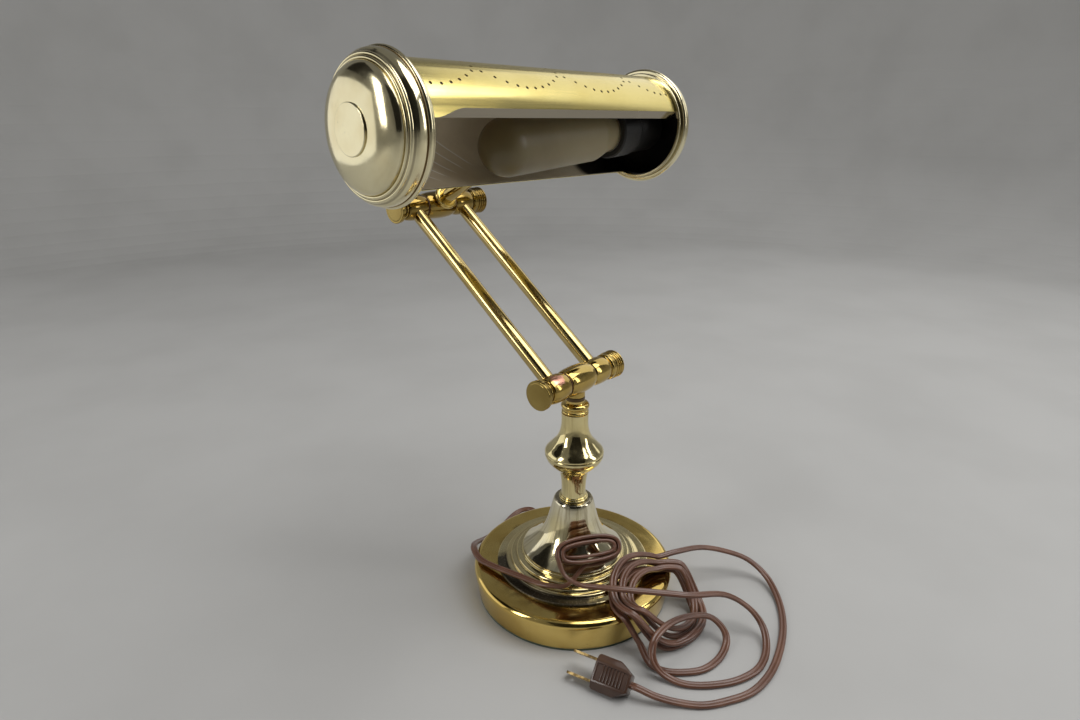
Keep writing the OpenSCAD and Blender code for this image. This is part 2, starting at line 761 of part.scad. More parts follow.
// A bent strap from the back of the holder to the wall of the shade
strap_t = 1.4;
strap_w = 11;
strap_y = sqrt(tube_in * tube_in - strap_w * strap_w / 4) - 0.4;
strap_in = 20.5;
strap_low = 8;
strap_x = holder_back - strap_in;
module socket_strap() color("silver")
    at_shade()
        difference() {
            union() {
                on_droop()
                    translate([socket_len, -strap_low, -strap_w / 2])
                        cube([strap_t, strap_y + strap_low, strap_w]);
                translate([strap_x - 5, strap_y - strap_t, -strap_w / 2])
                    cube([holder_back + strap_t - strap_x + 5, strap_t, strap_w]);
            }
            translate([strap_x, strap_y + 5, 0])
                rotate([90, 0, 0])
                    cylinder(r = screw_hole_r + fit, h = 12);
        }

screw_head_r = 3;
screw_head_t = 2;
module strap_screw() color("silver")
    at_shade()
        out_of_shade(180)
            translate([strap_x, 0, 0]) {
                translate([0, 0, strap_y - 5])
                    cylinder(r = screw_hole_r, h = tube_r + 0.3 - strap_y + 5);
                translate([0, 0, tube_r + 0.2])
                    turned([[0, 0], [screw_head_r, 0], [screw_head_r - 0.4, screw_head_t * 0.6],
                        [screw_head_r - 1.4, screw_head_t], [0, screw_head_t]]);
            }

module strap_nut() color("silver")
    at_shade()
        out_of_shade(180)
            translate([strap_x, 0, strap_y - strap_t - 2.6])
                difference() {
                    cylinder(r = 3, h = 2.5, $fn = 6);
                    translate([0, 0, -1])
                        cylinder(r = screw_hole_r + fit, h = 5);
                }

// Turn switch in the back of the shade

switch_r = 7;
switch_depth = 9;
switch_seat = sqrt(tube_in * tube_in - switch_r * switch_r) - 0.1;
module at_switch() at_shade() out_of_shade(180) translate([switch_x, 0, 0]) children();
switch_bush_end = tube_r + 4;
spindle_r = 1.8;
module switch_body() color("black")
    at_switch()
        difference() {
            union() {
                translate([0, 0, switch_seat - switch_depth])
                    cylinder(r = switch_r, h = switch_depth);
                translate([0, 0, switch_seat - 1])
                    cylinder(r = switch_bush_r, h = switch_bush_end - switch_seat + 1);
            }
            translate([0, 0, switch_seat - 4])
                cylinder(r = spindle_r + fit, h = 20);
        }

switch_nut_r = 5.6;
module switch_nut() color("goldenrod")
    at_switch()
        translate([0, 0, tube_r + 0.1])
            difference() {
                cylinder(r = switch_nut_r, h = 2.4, $fn = 6);
                translate([0, 0, -1])
                    cylinder(r = switch_bush_r + fit, h = 5);
            }

// A fluted knob with its own spindle
turn_len = 11;
flutes = 18;
module switch_knob() color("darkgoldenrod")
    at_switch() {
        translate([0, 0, switch_seat - 3.8])
            cylinder(r = spindle_r, h = switch_bush_end - switch_seat + 5);
        translate([0, 0, switch_bush_end + 0.3])
            difference() {
                turned([[0, 0], [turn_r - 0.5, 0], [turn_r, 0.5], [turn_r, turn_len - 1.5],
                    [turn_r - 1.5, turn_len], [0, turn_len]]);
                for (i = [0:flutes - 1])
                    rotate([0, 0, i * 360 / flutes])
                        translate([turn_r + 0.35, 0, 1.5])
                            cylinder(r = 0.8, h = turn_len - 4, $fn = 16);
            }
    }

// Cord

// Both coils spiral in and out again in two layers and climb in the half turn between
function fold(s, turns) = min(s, turns - s);
function climb(s, turns) = ease((s - turns / 2 + 0.25) / 0.5);

// The hank leans on the bell, wound on edge, with its lower side over the foot
hank_at = -123;
hank_tilt = 52;
hank_a = 22.4;
hank_b = 9.6;
hank_gap = 0.8;
hank_loops = hank_turns - 0.2;
hank_out = [cos(hank_at), sin(hank_at), 0];
hank_u = [-sin(hank_at), cos(hank_at), 0];
hank_v = [0, 0, sin(hank_tilt)] - cos(hank_tilt) * hank_out;
hank_n = [0, 0, cos(hank_tilt)] + sin(hank_tilt) * hank_out;
hank_c = 30.6 * hank_out + [0, 0, 48.4];
function hank_point(s) =
    let (q = 270 + 360 * s, b = hank_b - (cord_t + hank_gap) * fold(s, hank_loops), c = cos(q))
    hank_c + ((hank_a - hank_b) * sin(90 * c) + b * c) * hank_u + b * sin(q) * hank_v
    + (cord_w + hank_gap) * climb(s, hank_loops) * hank_n;
hank_rings = round(hank_loops * loop_rings);
hank_path = [for (i = [0:hank_rings]) hank_point(hank_loops * i / hank_rings)];
function hank_ups(p) = [for (i = [0:len(p) - 1]) cross(hank_n, way(p, i))];

// The tangle lies half on the base and drops over the drum's edge to the table
tangle_first = 205;
tangle_a = 37;
tangle_b = 29;
tangle_c = [7, -70];
tangle_turn = -12;
tangle_step = cord_w + 1.2;
tangle_layer = cord_t + 1.7;
tangle_loops = tangle_turns + 0.4;
drop_r = base_r + 0.5;
drop_run = 19;
foot_slope = 0.46;
foot_reach = foot_r + 7;
function lie(p, up) = let (r = norm(p))
    cord_rest + 0.4 + up
    + (base_h + max(0, foot_reach - r) * foot_slope) * (1 - ease((r - up - drop_r) / drop_run));
function tangle_plan(s) =
    let (q = tangle_first - 360 * s, off = -tangle_step * fold(s, tangle_loops),
        x = (tangle_a + off) * cos(q), y = (tangle_b + off) * sin(q), w = tangle_turn)
    tangle_c + [x * cos(w) - y * sin(w), x * sin(w) + y * cos(w)];
function tangle_point(s) =
    let (p = tangle_plan(s))
    [p[0], p[1], lie(p, tangle_layer * climb(s, tangle_loops))];
tangle_rings = round(tangle_loops * loop_rings);
tangle_path = [for (i = [0:tangle_rings]) tangle_point(tangle_loops * i / tangle_rings)];
function flat_ups(p) = [for (q = p) [0, 0, 1]];

// A coil's end runs on straight for one width of the cord
function run_in(p) = p[0] - cord_w * unit(p[1] - p[0]);
function run_out(p) = let (e = len(p) - 1) p[e] + cord_w * unit(p[e] - p[e - 1]);

// Free stretches, by hand: out of the relief, over the drum's edge and along the foot to the hank
exit_dir = [cos(exit_at), sin(exit_at), 0];
lead_path = concat(
    [exit_r * exit_dir + [0, 0, exit_z], (exit_r + cord_w) * exit_dir + [0, 0, exit_z]],
    [[44.5, 81, 6.5], [41, 86, 5.6], [35, 88, 4.8], [26, 87, 4.2], [15, 84, 4], [4, 81, 5], [-8, 77.5, 8],
     [-19, 73, 13], [-29, 68, 18.5], [-38, 62, 23.5], [-45, 54, 26], [-49, 44, 25.6], [-49, 32, 26],
     [-48, 18, 27.6], [-47, 4, 29.2], [-46, -8, 30.4], [-43, -18, 31.6], [-37, -26, 33.5]],
    [run_in(hank_path), hank_path[0]]);

// From the hank over the tangle, round on the table, through one loop and up into the tangle
bridge_path = concat(
    [hank_path[hank_rings], run_out(hank_path)],
    [[-40, -27, 41.5], [-38, -37, 39.5], [-32, -46, 39], [-24, -58, 39], [-16, -69, 38.5],
     [-7, -80, 37.5], [5, -92, 35], [28, -104, 28], [40, -116, 17], [40, -127, 8], [29, -135, 2.4],
     [12, -138, 1.4], [-5, -133, 1.4], [-19, -123, 1.4], [-29, -111, 1.4], [-33, -100, 3],
     [-34, -92.5, 7.5], [-31.5, -88, 13.5], [-24, -86, 18.5], [-9, -87, 19.5], [6, -92, 18],
     [18, -100, 14.5], [20, -109, 9], [16, -114, 3.5], [3, -116, 1.4], [-12, -113, 1.4],
     [-23, -104, 1.4], [-29, -95, 1.4], [-30, -86, 2.2]],
    [run_in(tangle_path), tangle_path[0]]);

// From the tangle out over the drum's edge, round on the table and into the plug
plug_at = [-57, -90];
plug_turn = 103;
// The plug lies on one of its sloped faces
plug_side = 1.6;
plug_roll = atan2(plug_t / 2 - plug_side, (plug_w - plug_panel) / 2);
plug_z = plug_panel / 2 * sin(plug_roll) + plug_t / 2 * cos(plug_roll) + 0.05;
plug_dir = [cos(plug_turn), sin(plug_turn), 0];
plug_mouth = [plug_at[0], plug_at[1], plug_z];
tail_path = concat(
    [tangle_path[tangle_rings], run_out(tangle_path)],
    [[47, -58, 29], [67, -66, 25.5], [82, -78, 20], [93, -91, 13], [93, -106, 6], [80, -121, 2],
     [60, -133, 1.4], [37, -141, 1.4], [13, -145, 1.4], [-8, -143, 1.4], [-24, -135, 1.4],
     [-36, -126, 1.4], [-44.5, -114.5, 2.2], [-51.5, -104, 4.8]],
    [plug_mouth - cord_w * plug_dir, plug_mouth]);

// The cord twists on to its edge over a few rings beside the hank
twist_rings = 4;
function turned_up(p, i, from_end) =
    let (w = max(0, 1 - max(0, from_end - 1) / twist_rings))
    w * cross(hank_n, way(p, i)) + (1 - w) * [0, 0, 1];
lead_ups = [for (i = [0:len(lead_path) - 1]) turned_up(lead_path, i, len(lead_path) - 1 - i)];
bridge_ups = [for (i = [0:len(bridge_path) - 1]) turned_up(bridge_path, i, i)];

// Rings of a flat oval along a path, and the tube that joins them
function way(p, i) = let (e = len(p) - 1) unit(p[min(e, i + 1)] - p[max(0, i - 1)]);
function oval(c, t, up, sides) =
    let (side = unit(cross(t, up)), lift = cross(side, t))
    [for (k = [0:sides - 1]) let (a = 360 * (k + 0.5) / sides)
        c + cord_w / 2 * cos(a) * side + cord_t / 2 * sin(a) * lift];
module cord_tube(path, ups, sides) {
    last = len(path) - 1;
    rings = [for (i = [0:last]) oval(path[i], way(path, i), ups[i], sides)];
    points = concat([for (r = rings) each r], [path[0], path[last]]);
    hub = sides * (last + 1);
    faces = concat(
        [for (i = [0:last - 1], k = [0:sides - 1]) let (a = i * sides + k, b = i * sides + (k + 1) % sides)
            each [[a, a + sides, b], [b, a + sides, b + sides]]],
        [for (k = [0:sides - 1]) [k, (k + 1) % sides, hub]],
        [for (k = [0:sides - 1]) [last * sides + (k + 1) % sides, last * sides + k, hub + 1]]);
    polyhedron(points, faces);
}

// Reach of the oval in a direction of its own section
function oval_reach(a, b) =
    let (n = norm([a, b]))
    n / sqrt(pow(2 * a / cord_w, 2) + pow(2 * b / cord_t, 2));
// Least gap between the turns of a coil, on close points half a loop or more apart
gap_points = 96;
function self_gap(p, ups) = min([for (i = [0:len(p) - 1])
    let (t = way(p, i), side = unit(cross(t, ups[i])), lift = cross(side, t),
        step = norm(p[min(i + 1, len(p) - 1)] - p[max(i - 1, 0)]) / 2)
    for (j = [i + gap_points / 2:1:len(p) - 1])
        let (d = p[j] - p[i], a = d * side, b = d * lift)
        if (abs(d * t) <= step) norm([a, b]) - 2 * oval_reach(a, b)]);
hank_close = [for (i = [0:hank_loops * gap_points]) hank_point(i / gap_points)];
tangle_close = [for (i = [0:tangle_loops * gap_points]) tangle_point(i / gap_points)];
echo(hank_gap = self_gap(hank_close, hank_ups(hank_close)));
echo(tangle_gap = self_gap(tangle_close, flat_ups(tangle_close)));
function run(p) = let (d = [for (i = [1:len(p) - 1]) norm(p[i] - p[i - 1])]) d * [for (x = d) 1];
echo(cord_length = run(lead_path) + run(hank_path) + run(bridge_path) + run(tangle_path) + run(tail_path));

module cord_lead() color("saddlebrown") cord_tube(lead_path, lead_ups, cord_sides);
module cord_hank() color("saddlebrown") cord_tube(hank_path, hank_ups(hank_path), loop_sides);
module cord_bridge() color("saddlebrown") cord_tube(bridge_path, bridge_ups, cord_sides);
module cord_tangle() color("saddlebrown") cord_tube(tangle_path, flat_ups(tangle_path), loop_sides);
module cord_tail() color("saddlebrown") cord_tube(tail_path, flat_ups(tail_path), cord_sides);

// Plug

module at_plug()
    translate(plug_mouth)
        rotate([0, 0, plug_turn])
            rotate([-plug_roll, 0, 0])
                children();
plug_neck_w = 10.5;
blade_in = 9;
blade_w = 6.3;
blade_t = 1.5;
plug_ribs = 7;
rib_pitch = 2;
rib_room = 1.2;
// Half of the plug's outline, from the cord's end to the blades
plug_half = [[0, plug_neck_w / 2], [6, plug_w / 2 - 1.3], [8.5, plug_w / 2], [plug_len - 1, plug_w / 2],
    [plug_len, plug_w / 2 - 1]];
// A quarter of its section: a flat panel, a sloped face and a narrow side
plug_corner = [[plug_w / 2, plug_side], [plug_panel / 2, plug_t / 2]];
function mirrored(p, x, y) = [for (q = p) [x * q[0], y * q[1]]];
module plug_body() color("saddlebrown")
    at_plug()
        difference() {
            intersection() {
                linear_extrude(height = 2 * plug_t, center = true)
                    polygon(concat(plug_half, back_to_front(mirrored(plug_half, 1, -1))));
                rotate([90, 0, 90])
                    linear_extrude(height = plug_len)
                        polygon(concat(plug_corner, back_to_front(mirrored(plug_corner, -1, 1)),
                            mirrored(plug_corner, -1, -1), back_to_front(mirrored(plug_corner, 1, -1))));
            }
            for (i = [0:plug_ribs - 1])
                translate([4.4 + i * rib_pitch, -plug_panel / 2 + 1, plug_t / 2 - 0.8])
                    cube([rib_room, plug_panel - 2, 2]);
            for (s = [-1, 1])
                translate([plug_len - blade_in, s * blade_gap / 2 - blade_t / 2 - fit, -blade_w / 2 - fit])
                    cube([blade_in + 1, blade_t + 2 * fit, blade_w + 2 * fit]);
        }

module plug_blades() color("gold")
    at_plug()
        for (s = [-1, 1])
            translate([plug_len - blade_in + fit, s * blade_gap / 2 - blade_t / 2, -blade_w / 2])
                cube([blade_in + blade_len, blade_t, blade_w]);

base_shell();
felt_pad();
base_weight();
base_washer();
base_nut();
centre_pipe();
post_wire();
cord_relief();
stepped_foot();
pedestal_bell();
neck_ring();
waist_spool();
vase();
post_cap();
swivel_washer();
swivel_stub();
lower_barrel();
at_lower_bar() axle();  // lower_axle
at_lower_bar() fibre_rings();  // lower_fibre_rings
at_lower_bar() tail_cap();  // lower_end_cap
at_lower_bar() disc_knob();  // lower_knob
lower_collar(-1);  // lower_collar_left
lower_collar(1);  // lower_collar_right
rod(-1);  // rod_left
rod(1);  // rod_right
rod_wire();
upper_collar(-1);  // upper_collar_left
upper_collar(1);  // upper_collar_right
upper_barrel();
at_upper_bar() axle();  // upper_axle
at_upper_bar() fibre_rings();  // upper_fibre_rings
at_upper_bar() tail_cap();  // upper_end_cap
at_upper_bar() disc_knob();  // upper_knob
shade_stem();
stem_wire();
stem_ring();
stem_flange();
stem_nut();
shade_tube();
end_cap(-1);  // shade_cap_left
end_cap(1);  // shade_cap_right
cap_button(-1);  // cap_button_left
cap_button(1);  // cap_button_right
lamp_socket();
bulb_base();
bulb_glass();
socket_strap();
strap_screw();
strap_nut();
switch_body();
switch_nut();
switch_knob();
cord_lead();
cord_hank();
cord_bridge();
cord_tangle();
cord_tail();
plug_body();
plug_blades();
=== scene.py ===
# %% [markdown]
# # A brass desk lamp with a pierced tubular shade
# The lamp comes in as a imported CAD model: every turned piece, rod and nut is already in its place, in metres.
# Blender's part is the look. Pieces whose CAD shape is right only get a finish, and the polished turned
# pieces are spun again here with finer curves, because polished metal shows every flat.

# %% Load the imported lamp
import json
from math import atan2, cos, degrees, hypot, pi, radians, sin, sqrt

import bmesh
import bpy
from mathutils import Matrix, Vector

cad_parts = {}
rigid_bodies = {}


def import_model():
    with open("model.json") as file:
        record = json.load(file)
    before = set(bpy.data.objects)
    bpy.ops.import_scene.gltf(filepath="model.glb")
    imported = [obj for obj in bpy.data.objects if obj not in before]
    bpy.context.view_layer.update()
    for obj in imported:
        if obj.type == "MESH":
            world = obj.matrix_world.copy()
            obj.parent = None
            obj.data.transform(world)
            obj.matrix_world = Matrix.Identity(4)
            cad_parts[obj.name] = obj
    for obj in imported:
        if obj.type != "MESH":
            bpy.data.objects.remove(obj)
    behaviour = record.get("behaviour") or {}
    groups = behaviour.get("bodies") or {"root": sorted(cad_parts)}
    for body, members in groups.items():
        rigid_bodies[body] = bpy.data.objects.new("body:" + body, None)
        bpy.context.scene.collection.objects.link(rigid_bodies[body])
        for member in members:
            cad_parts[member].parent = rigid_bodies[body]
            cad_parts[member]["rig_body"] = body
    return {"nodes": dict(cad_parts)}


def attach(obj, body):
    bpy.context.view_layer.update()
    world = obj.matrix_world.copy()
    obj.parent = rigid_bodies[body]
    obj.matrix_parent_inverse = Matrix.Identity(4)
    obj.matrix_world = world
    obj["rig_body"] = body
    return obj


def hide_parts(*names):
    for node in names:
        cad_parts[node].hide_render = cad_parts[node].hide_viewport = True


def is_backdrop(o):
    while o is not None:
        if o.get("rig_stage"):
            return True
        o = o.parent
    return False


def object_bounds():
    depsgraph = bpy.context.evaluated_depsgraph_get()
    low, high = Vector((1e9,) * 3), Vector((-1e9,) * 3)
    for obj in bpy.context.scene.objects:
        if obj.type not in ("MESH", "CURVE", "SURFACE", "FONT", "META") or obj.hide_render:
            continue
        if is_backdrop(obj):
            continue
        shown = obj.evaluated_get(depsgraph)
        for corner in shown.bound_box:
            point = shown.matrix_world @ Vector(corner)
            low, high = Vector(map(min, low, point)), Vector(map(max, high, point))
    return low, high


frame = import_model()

MM = 0.001
scene = bpy.context.scene
cad_nodes = frame["nodes"]
cad_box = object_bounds()
print("nodes", len(cad_nodes), "box", [round(v, 4) for v in (*cad_box[0], *cad_box[1])])

# %% [markdown]
# ## Camera
# The picture was taken from the front left, a little above the shade, with a short lens close by: the near end
# cap looks much bigger than the far one. Only a camera at the same place gives the same proportions, so its
# place and direction are numbers.

# %% Camera of the photograph
CAMERA_AT = Vector((-317.97, -250.72, 317.62)) * MM
CAMERA_AZIMUTH = radians(-48.46)
CAMERA_PITCH = radians(19.75)
camera = bpy.data.objects.new("camera", bpy.data.cameras.new("camera"))
camera.data.sensor_width = 36
camera.data.lens = 22.25
camera.data.clip_start = 0.01
camera.location = CAMERA_AT
camera.rotation_euler = (pi / 2 - CAMERA_PITCH, 0, CAMERA_AZIMUTH)
scene.collection.objects.link(camera)
scene.camera = camera
print("camera at", [round(v, 3) for v in CAMERA_AT])

# %% [markdown]
# ## Writing shader sums as Python
# A finish is made of masks: where it is tarnished, where it is scratched. Nodes wired one by one are slow to
# read. One small class holds a socket, so that a sum such as 1 - mask adds its Math node by itself, and one
# method adds every other kind of node.


# %% A socket that can be added and multiplied
class Tone:
    """A socket of a material. Sums on tones add Math nodes, and node() adds any other node."""

    def __init__(self, material, socket=None):
        self.material, self.tree, self.socket = material, material.node_tree, socket

    def node(self, kind, settings=None, sockets=None, out=0):
        made = self.tree.nodes.new("ShaderNode" + kind)
        for key, value in (settings or {}).items():
            setattr(made, key, value)
        for key, value in (sockets or {}).items():
            if isinstance(value, Tone):
                self.tree.links.new(value.socket, made.inputs[key])
            else:
                made.inputs[key].default_value = value
        return Tone(self.material, made.outputs[out])

    def math(self, operation, a, b):
        return self.node("Math", {"operation": operation}, {0: a, 1: b})

    def __add__(self, other):
        return self.math("ADD", self, other)

    __radd__ = __add__

    def __sub__(self, other):
        return self.math("SUBTRACT", self, other)

    def __rsub__(self, other):
        return self.math("SUBTRACT", other, self)

    def __mul__(self, other):
        return self.math("MULTIPLY", self, other)

    def __truediv__(self, other):
        return self.math("DIVIDE", self, other)

    def __pow__(self, other):
        return self.math("POWER", self, other)


# %% Words for the masks
def fade(value, low, high):
    """0 below low and 1 above high, with a soft change between."""
    return value.node("MapRange", {"interpolation_type": "SMOOTHSTEP"},
                      {"Value": value, "From Min": low, "From Max": high})


def past(value, low, high):
    """The same for a length, with both limits in millimetres."""
    return fade(value, low * MM, high * MM)


def band(value, a, b, c, d):
    """1 between b and c millimetres, and 0 outside a and d."""
    return past(value, a, b) * (1 - past(value, c, d))


def cloud(place, scale, detail=3.0, rough=0.5):
    """Soft noise whose blots are about 1 / scale metres across."""
    return place.node("TexNoise", None, {"Vector": place, "Scale": scale, "Detail": detail, "Roughness": rough})


def tint(factor, under, over):
    """Covers the colour under with the colour over where factor is 1."""
    rgba = [c if isinstance(c, Tone) else (*c, 1) for c in (under, over)]
    return factor.node("Mix", {"data_type": "RGBA"}, {0: factor, 6: rgba[0], 7: rgba[1]}, 2)


def parts(place):
    """The three numbers of a vector."""
    return [place.node("SeparateXYZ", None, {0: place}, axis) for axis in "XYZ"]


def vector(place, x, y, z):
    return place.node("CombineXYZ", None, {0: x, 1: y, 2: z})


def turned_frame(place, centre=(0, 0, 0), turn=(0, 0, 0)):
    """Radius, height and angle of a surface point about an axis through centre."""
    local = place.node("Mapping", {"vector_type": "TEXTURE"},
                       {"Vector": place, "Location": [c * MM for c in centre],
                        "Rotation": [radians(a) for a in turn]})
    x, y, z = parts(local)
    return (x * x + y * y) ** 0.5, z, x.math("ARCTAN2", y, x), local


def bump(height, distance, strength=1.0):
    return height.node("Bump", None, {"Height": height, "Distance": distance * MM, "Strength": strength})


def new_finish(name):
    """Starts a material and gives the object's own coordinates in it."""
    material = bpy.data.materials.new(name)
    material.use_nodes = True
    return Tone(material).node("TexCoord", out="Object")


def dress(place, **sockets):
    """Sets or links sockets of the Principled shader: Base_Color=, Roughness= and so on."""
    for key, value in sockets.items():
        socket = place.tree.nodes["Principled BSDF"].inputs[key.replace("_", " ")]
        if isinstance(value, Tone):
            place.tree.links.new(value.socket, socket)
        else:
            socket.default_value = (*value, 1) if isinstance(value, tuple) and len(value) == 3 else value
    return place.material


print("shader words ready")

# %% [markdown]
# ## Brass
# Spun brass is never one colour. It has slow clouds of tarnish, small dark pits where the lacquer failed,
# smudges that dull the polish, and fine rings left by the lathe. Each of these is a mask. The rings need the
# distance from the piece's own axis, so each finish is told where that axis is.


# %% Spun brass
def spun_brass(name, tone, polish, axis=(0, 0, 0), turn=(0, 0, 0), pits=0.5, rings=0.4, spots=()):
    """Turned brass. spots gives further rows of a mask, a colour and how much duller it is there."""
    bright, deep, stain = tone
    place = new_finish(name)
    radius, height, angle, _ = turned_frame(place, axis, turn)
    colour = tint(fade(cloud(place, 38, 4), 0.38, 0.68), bright, deep)
    pitted = fade(cloud(place, 950, 2), 0.66, 0.74) * fade(cloud(place, 55, 3), 0.48, 0.66) * pits
    colour = tint(pitted, colour, stain)
    smudge = fade(cloud(place, 70, 6, 0.6), 0.45, 0.72)
    marks = cloud(vector(place, radius, height, angle * 0.0008), 2600, 2)
    roughness = polish + smudge * 0.1 + pitted * 0.3 + (marks - 0.5) * (0.12 * rings)
    for mask, over, rough in spots and spots(place, radius, height, angle):
        colour = tint(mask, colour, over)
        roughness = roughness + mask * rough
    return dress(place, Base_Color=colour, Metallic=1.0, Roughness=roughness,
                 Normal=bump(marks * 0.4 - pitted, 0.012 * rings, 0.5))


YELLOW_STAIN, PALE_STAIN, BLACKENED = (0.14, 0.085, 0.03), (0.13, 0.10, 0.06), (0.045, 0.038, 0.032)
YELLOW = (0.74, 0.56, 0.20), (0.60, 0.43, 0.135), YELLOW_STAIN
GOLD = (0.82, 0.61, 0.20), (0.70, 0.49, 0.14), YELLOW_STAIN
OLIVE = (0.62, 0.45, 0.145), (0.47, 0.325, 0.09), YELLOW_STAIN
SHADOWED_DISC = (0.42, 0.31, 0.10), (0.33, 0.235, 0.07), YELLOW_STAIN
SHADOWED_BRASS = (0.31, 0.215, 0.062), (0.24, 0.16, 0.044), YELLOW_STAIN
PALE = (0.86, 0.75, 0.43), (0.77, 0.645, 0.34), PALE_STAIN
SILVERED = (0.85, 0.785, 0.58), PALE[0], PALE_STAIN
POST = (0.89, 0.775, 0.42), (0.81, 0.68, 0.33), PALE_STAIN
CAP = (0.86, 0.785, 0.52), (0.78, 0.685, 0.42), PALE_STAIN
print("brass from", POST[0], "to", SHADOWED_BRASS[1])

# %% [markdown]
# ## Places on the lamp
# The CAD source places everything from a few driving sizes. The same sizes are written here once, in
# millimetres, and every piece below is placed from them, so that a spun piece falls on its CAD node.

# %% Sizes in millimetres
DRUM_TOP = 22.8
FOOT_H, BELL_H, RINGS_H, SPOOL_H, VASE_H, CAP_H, WASHER_H = 9.9, 39.7, 2.4, 18.4, 42.8, 9.4, 2.4
FOOT_TOP = DRUM_TOP + FOOT_H
BELL_TOP = FOOT_TOP + BELL_H
RING_TOP = BELL_TOP + RINGS_H
SPOOL_TOP = RING_TOP + SPOOL_H
VASE_TOP = SPOOL_TOP + VASE_H
CAP_TOP = VASE_TOP + CAP_H
BOSS = CAP_TOP + WASHER_H
BAR_RISE, ARM_LEN, STEM_REACH = 11.1, 165.6, 110.4
LOW_BAR = Vector((0, 0, BOSS + BAR_RISE))
ARM_LEAN, STEM_RISE = radians(52.2), radians(28.7)
ROD_WAY = Vector((0, sin(ARM_LEAN), cos(ARM_LEAN)))
STEM_WAY = Vector((0, -cos(STEM_RISE), sin(STEM_RISE)))
HIGH_BAR = LOW_BAR + ARM_LEN * ROD_WAY
SHADE = HIGH_BAR + STEM_REACH * STEM_WAY
PIPE_R, TUBE_R, TUBE_HALF = 4.85, 33.3, 111.5
ALONG_X = Matrix.Rotation(radians(90), 4, "Y")
SIDES = ((-1, "left"), (1, "right"))
print("shade axis", [round(v, 2) for v in SHADE], "upper bar", [round(v, 2) for v in HIGH_BAR])

# %% [markdown]
# ## The cord first
# The flat twin cord leaves the drum at the back, runs round the foot to a small hank that leans on the bell,
# drops over the drum's edge into a tangle, and ends in the plug. It could be a curve with a bevel, but a flat
# cord has to lie on its flat side and twist only where it goes on to its edge, so its rings are set one by one.
# Its points are those of the CAD source.

# %% Smooth lines
def ease(t):
    t = min(1.0, max(0.0, t))
    return t * t * (3 - 2 * t)


def through(points, steps):
    """A smooth line through points, with that many steps between each two."""
    first, last = 2 * points[0] - points[1], 2 * points[-1] - points[-2]
    held = [first, *points, last]
    line = []
    for a, b, c, d in zip(held, held[1:], held[2:], held[3:]):
        for k in range(steps):
            t = k / steps
            line.append(0.5 * (2 * b + (c - a) * t + (2 * a - 5 * b + 4 * c - d) * t * t
                               + (3 * b - a - 3 * c + d) * t ** 3))
    return [*line, points[-1]]


# %% The hank and the tangle
CORD_W, CORD_T, CORD_REST = 4.8, 2.5, 1.4
HANK_LOOPS, TANGLE_LOOPS = 3.8, 4.4
HANK_A, HANK_B, HANK_OUT, HANK_UP, TURN_GAP = 22.4, 9.6, 30.6, 48.4, 0.8
TANGLE_A, TANGLE_B, TANGLE_STEP, TANGLE_LAYER, TANGLE_GAP = 37, 29, 6, 4.2, 0.4
TANGLE_X, TANGLE_Y, TANGLE_START, TANGLE_TURN = 7, -70, 205, radians(-12)
HEAP_R, HEAP_RISE, BRINK_R, BRINK_W = 60.5, 0.46, 70.5, 19
hank_turn, hank_tilt = radians(-123), radians(52)
hank_out = Vector((cos(hank_turn), sin(hank_turn), 0))
hank_u = Vector((-sin(hank_turn), cos(hank_turn), 0))
hank_v = Vector((0, 0, sin(hank_tilt))) - cos(hank_tilt) * hank_out
hank_n = Vector((0, 0, cos(hank_tilt))) + sin(hank_tilt) * hank_out
hank_middle = HANK_OUT * hank_out + Vector((0, 0, HANK_UP))


def climb(s, loops):
    """0 on the first layer of a coil, 1 on its second."""
    return ease((s - loops / 2 + 0.25) / 0.5)


def hank_point(s):
    q, b = radians(270 + 360 * s), HANK_B - (CORD_T + TURN_GAP) * min(s, HANK_LOOPS - s)
    wide = (HANK_A - HANK_B) * sin(pi / 2 * cos(q)) + b * cos(q)
    return (hank_middle + wide * hank_u + b * sin(q) * hank_v
            + (CORD_W + TURN_GAP) * climb(s, HANK_LOOPS) * hank_n)


def tangle_point(s):
    """On the drum, heaped a little towards the foot, and over the brink."""
    q, off, w = radians(TANGLE_START - 360 * s), -TANGLE_STEP * min(s, TANGLE_LOOPS - s), TANGLE_TURN
    x, y = (TANGLE_A + off) * cos(q), (TANGLE_B + off) * sin(q)
    flat = Vector((TANGLE_X + x * cos(w) - y * sin(w), TANGLE_Y + x * sin(w) + y * cos(w), 0))
    up, r = TANGLE_LAYER * climb(s, TANGLE_LOOPS), flat.length
    lift = (DRUM_TOP + max(0, HEAP_R - r) * HEAP_RISE) * (1 - ease((r - up - BRINK_R) / BRINK_W))
    return flat + Vector((0, 0, CORD_REST + TANGLE_GAP + up + lift))


def coil(point, loops, per_loop):
    count = round(loops * per_loop)
    return [point(loops * i / count) for i in range(count + 1)]


def run_on(ends):
    """A coil runs on straight for one width of the cord."""
    return ends[0] + CORD_W * (ends[0] - ends[1]).normalized()


hank, tangle = coil(hank_point, HANK_LOOPS, 72), coil(tangle_point, TANGLE_LOOPS, 90)
hank_ends, tangle_ends = coil(hank_point, HANK_LOOPS, 24), coil(tangle_point, TANGLE_LOOPS, 24)
print("hank", len(hank), "tangle", len(tangle))

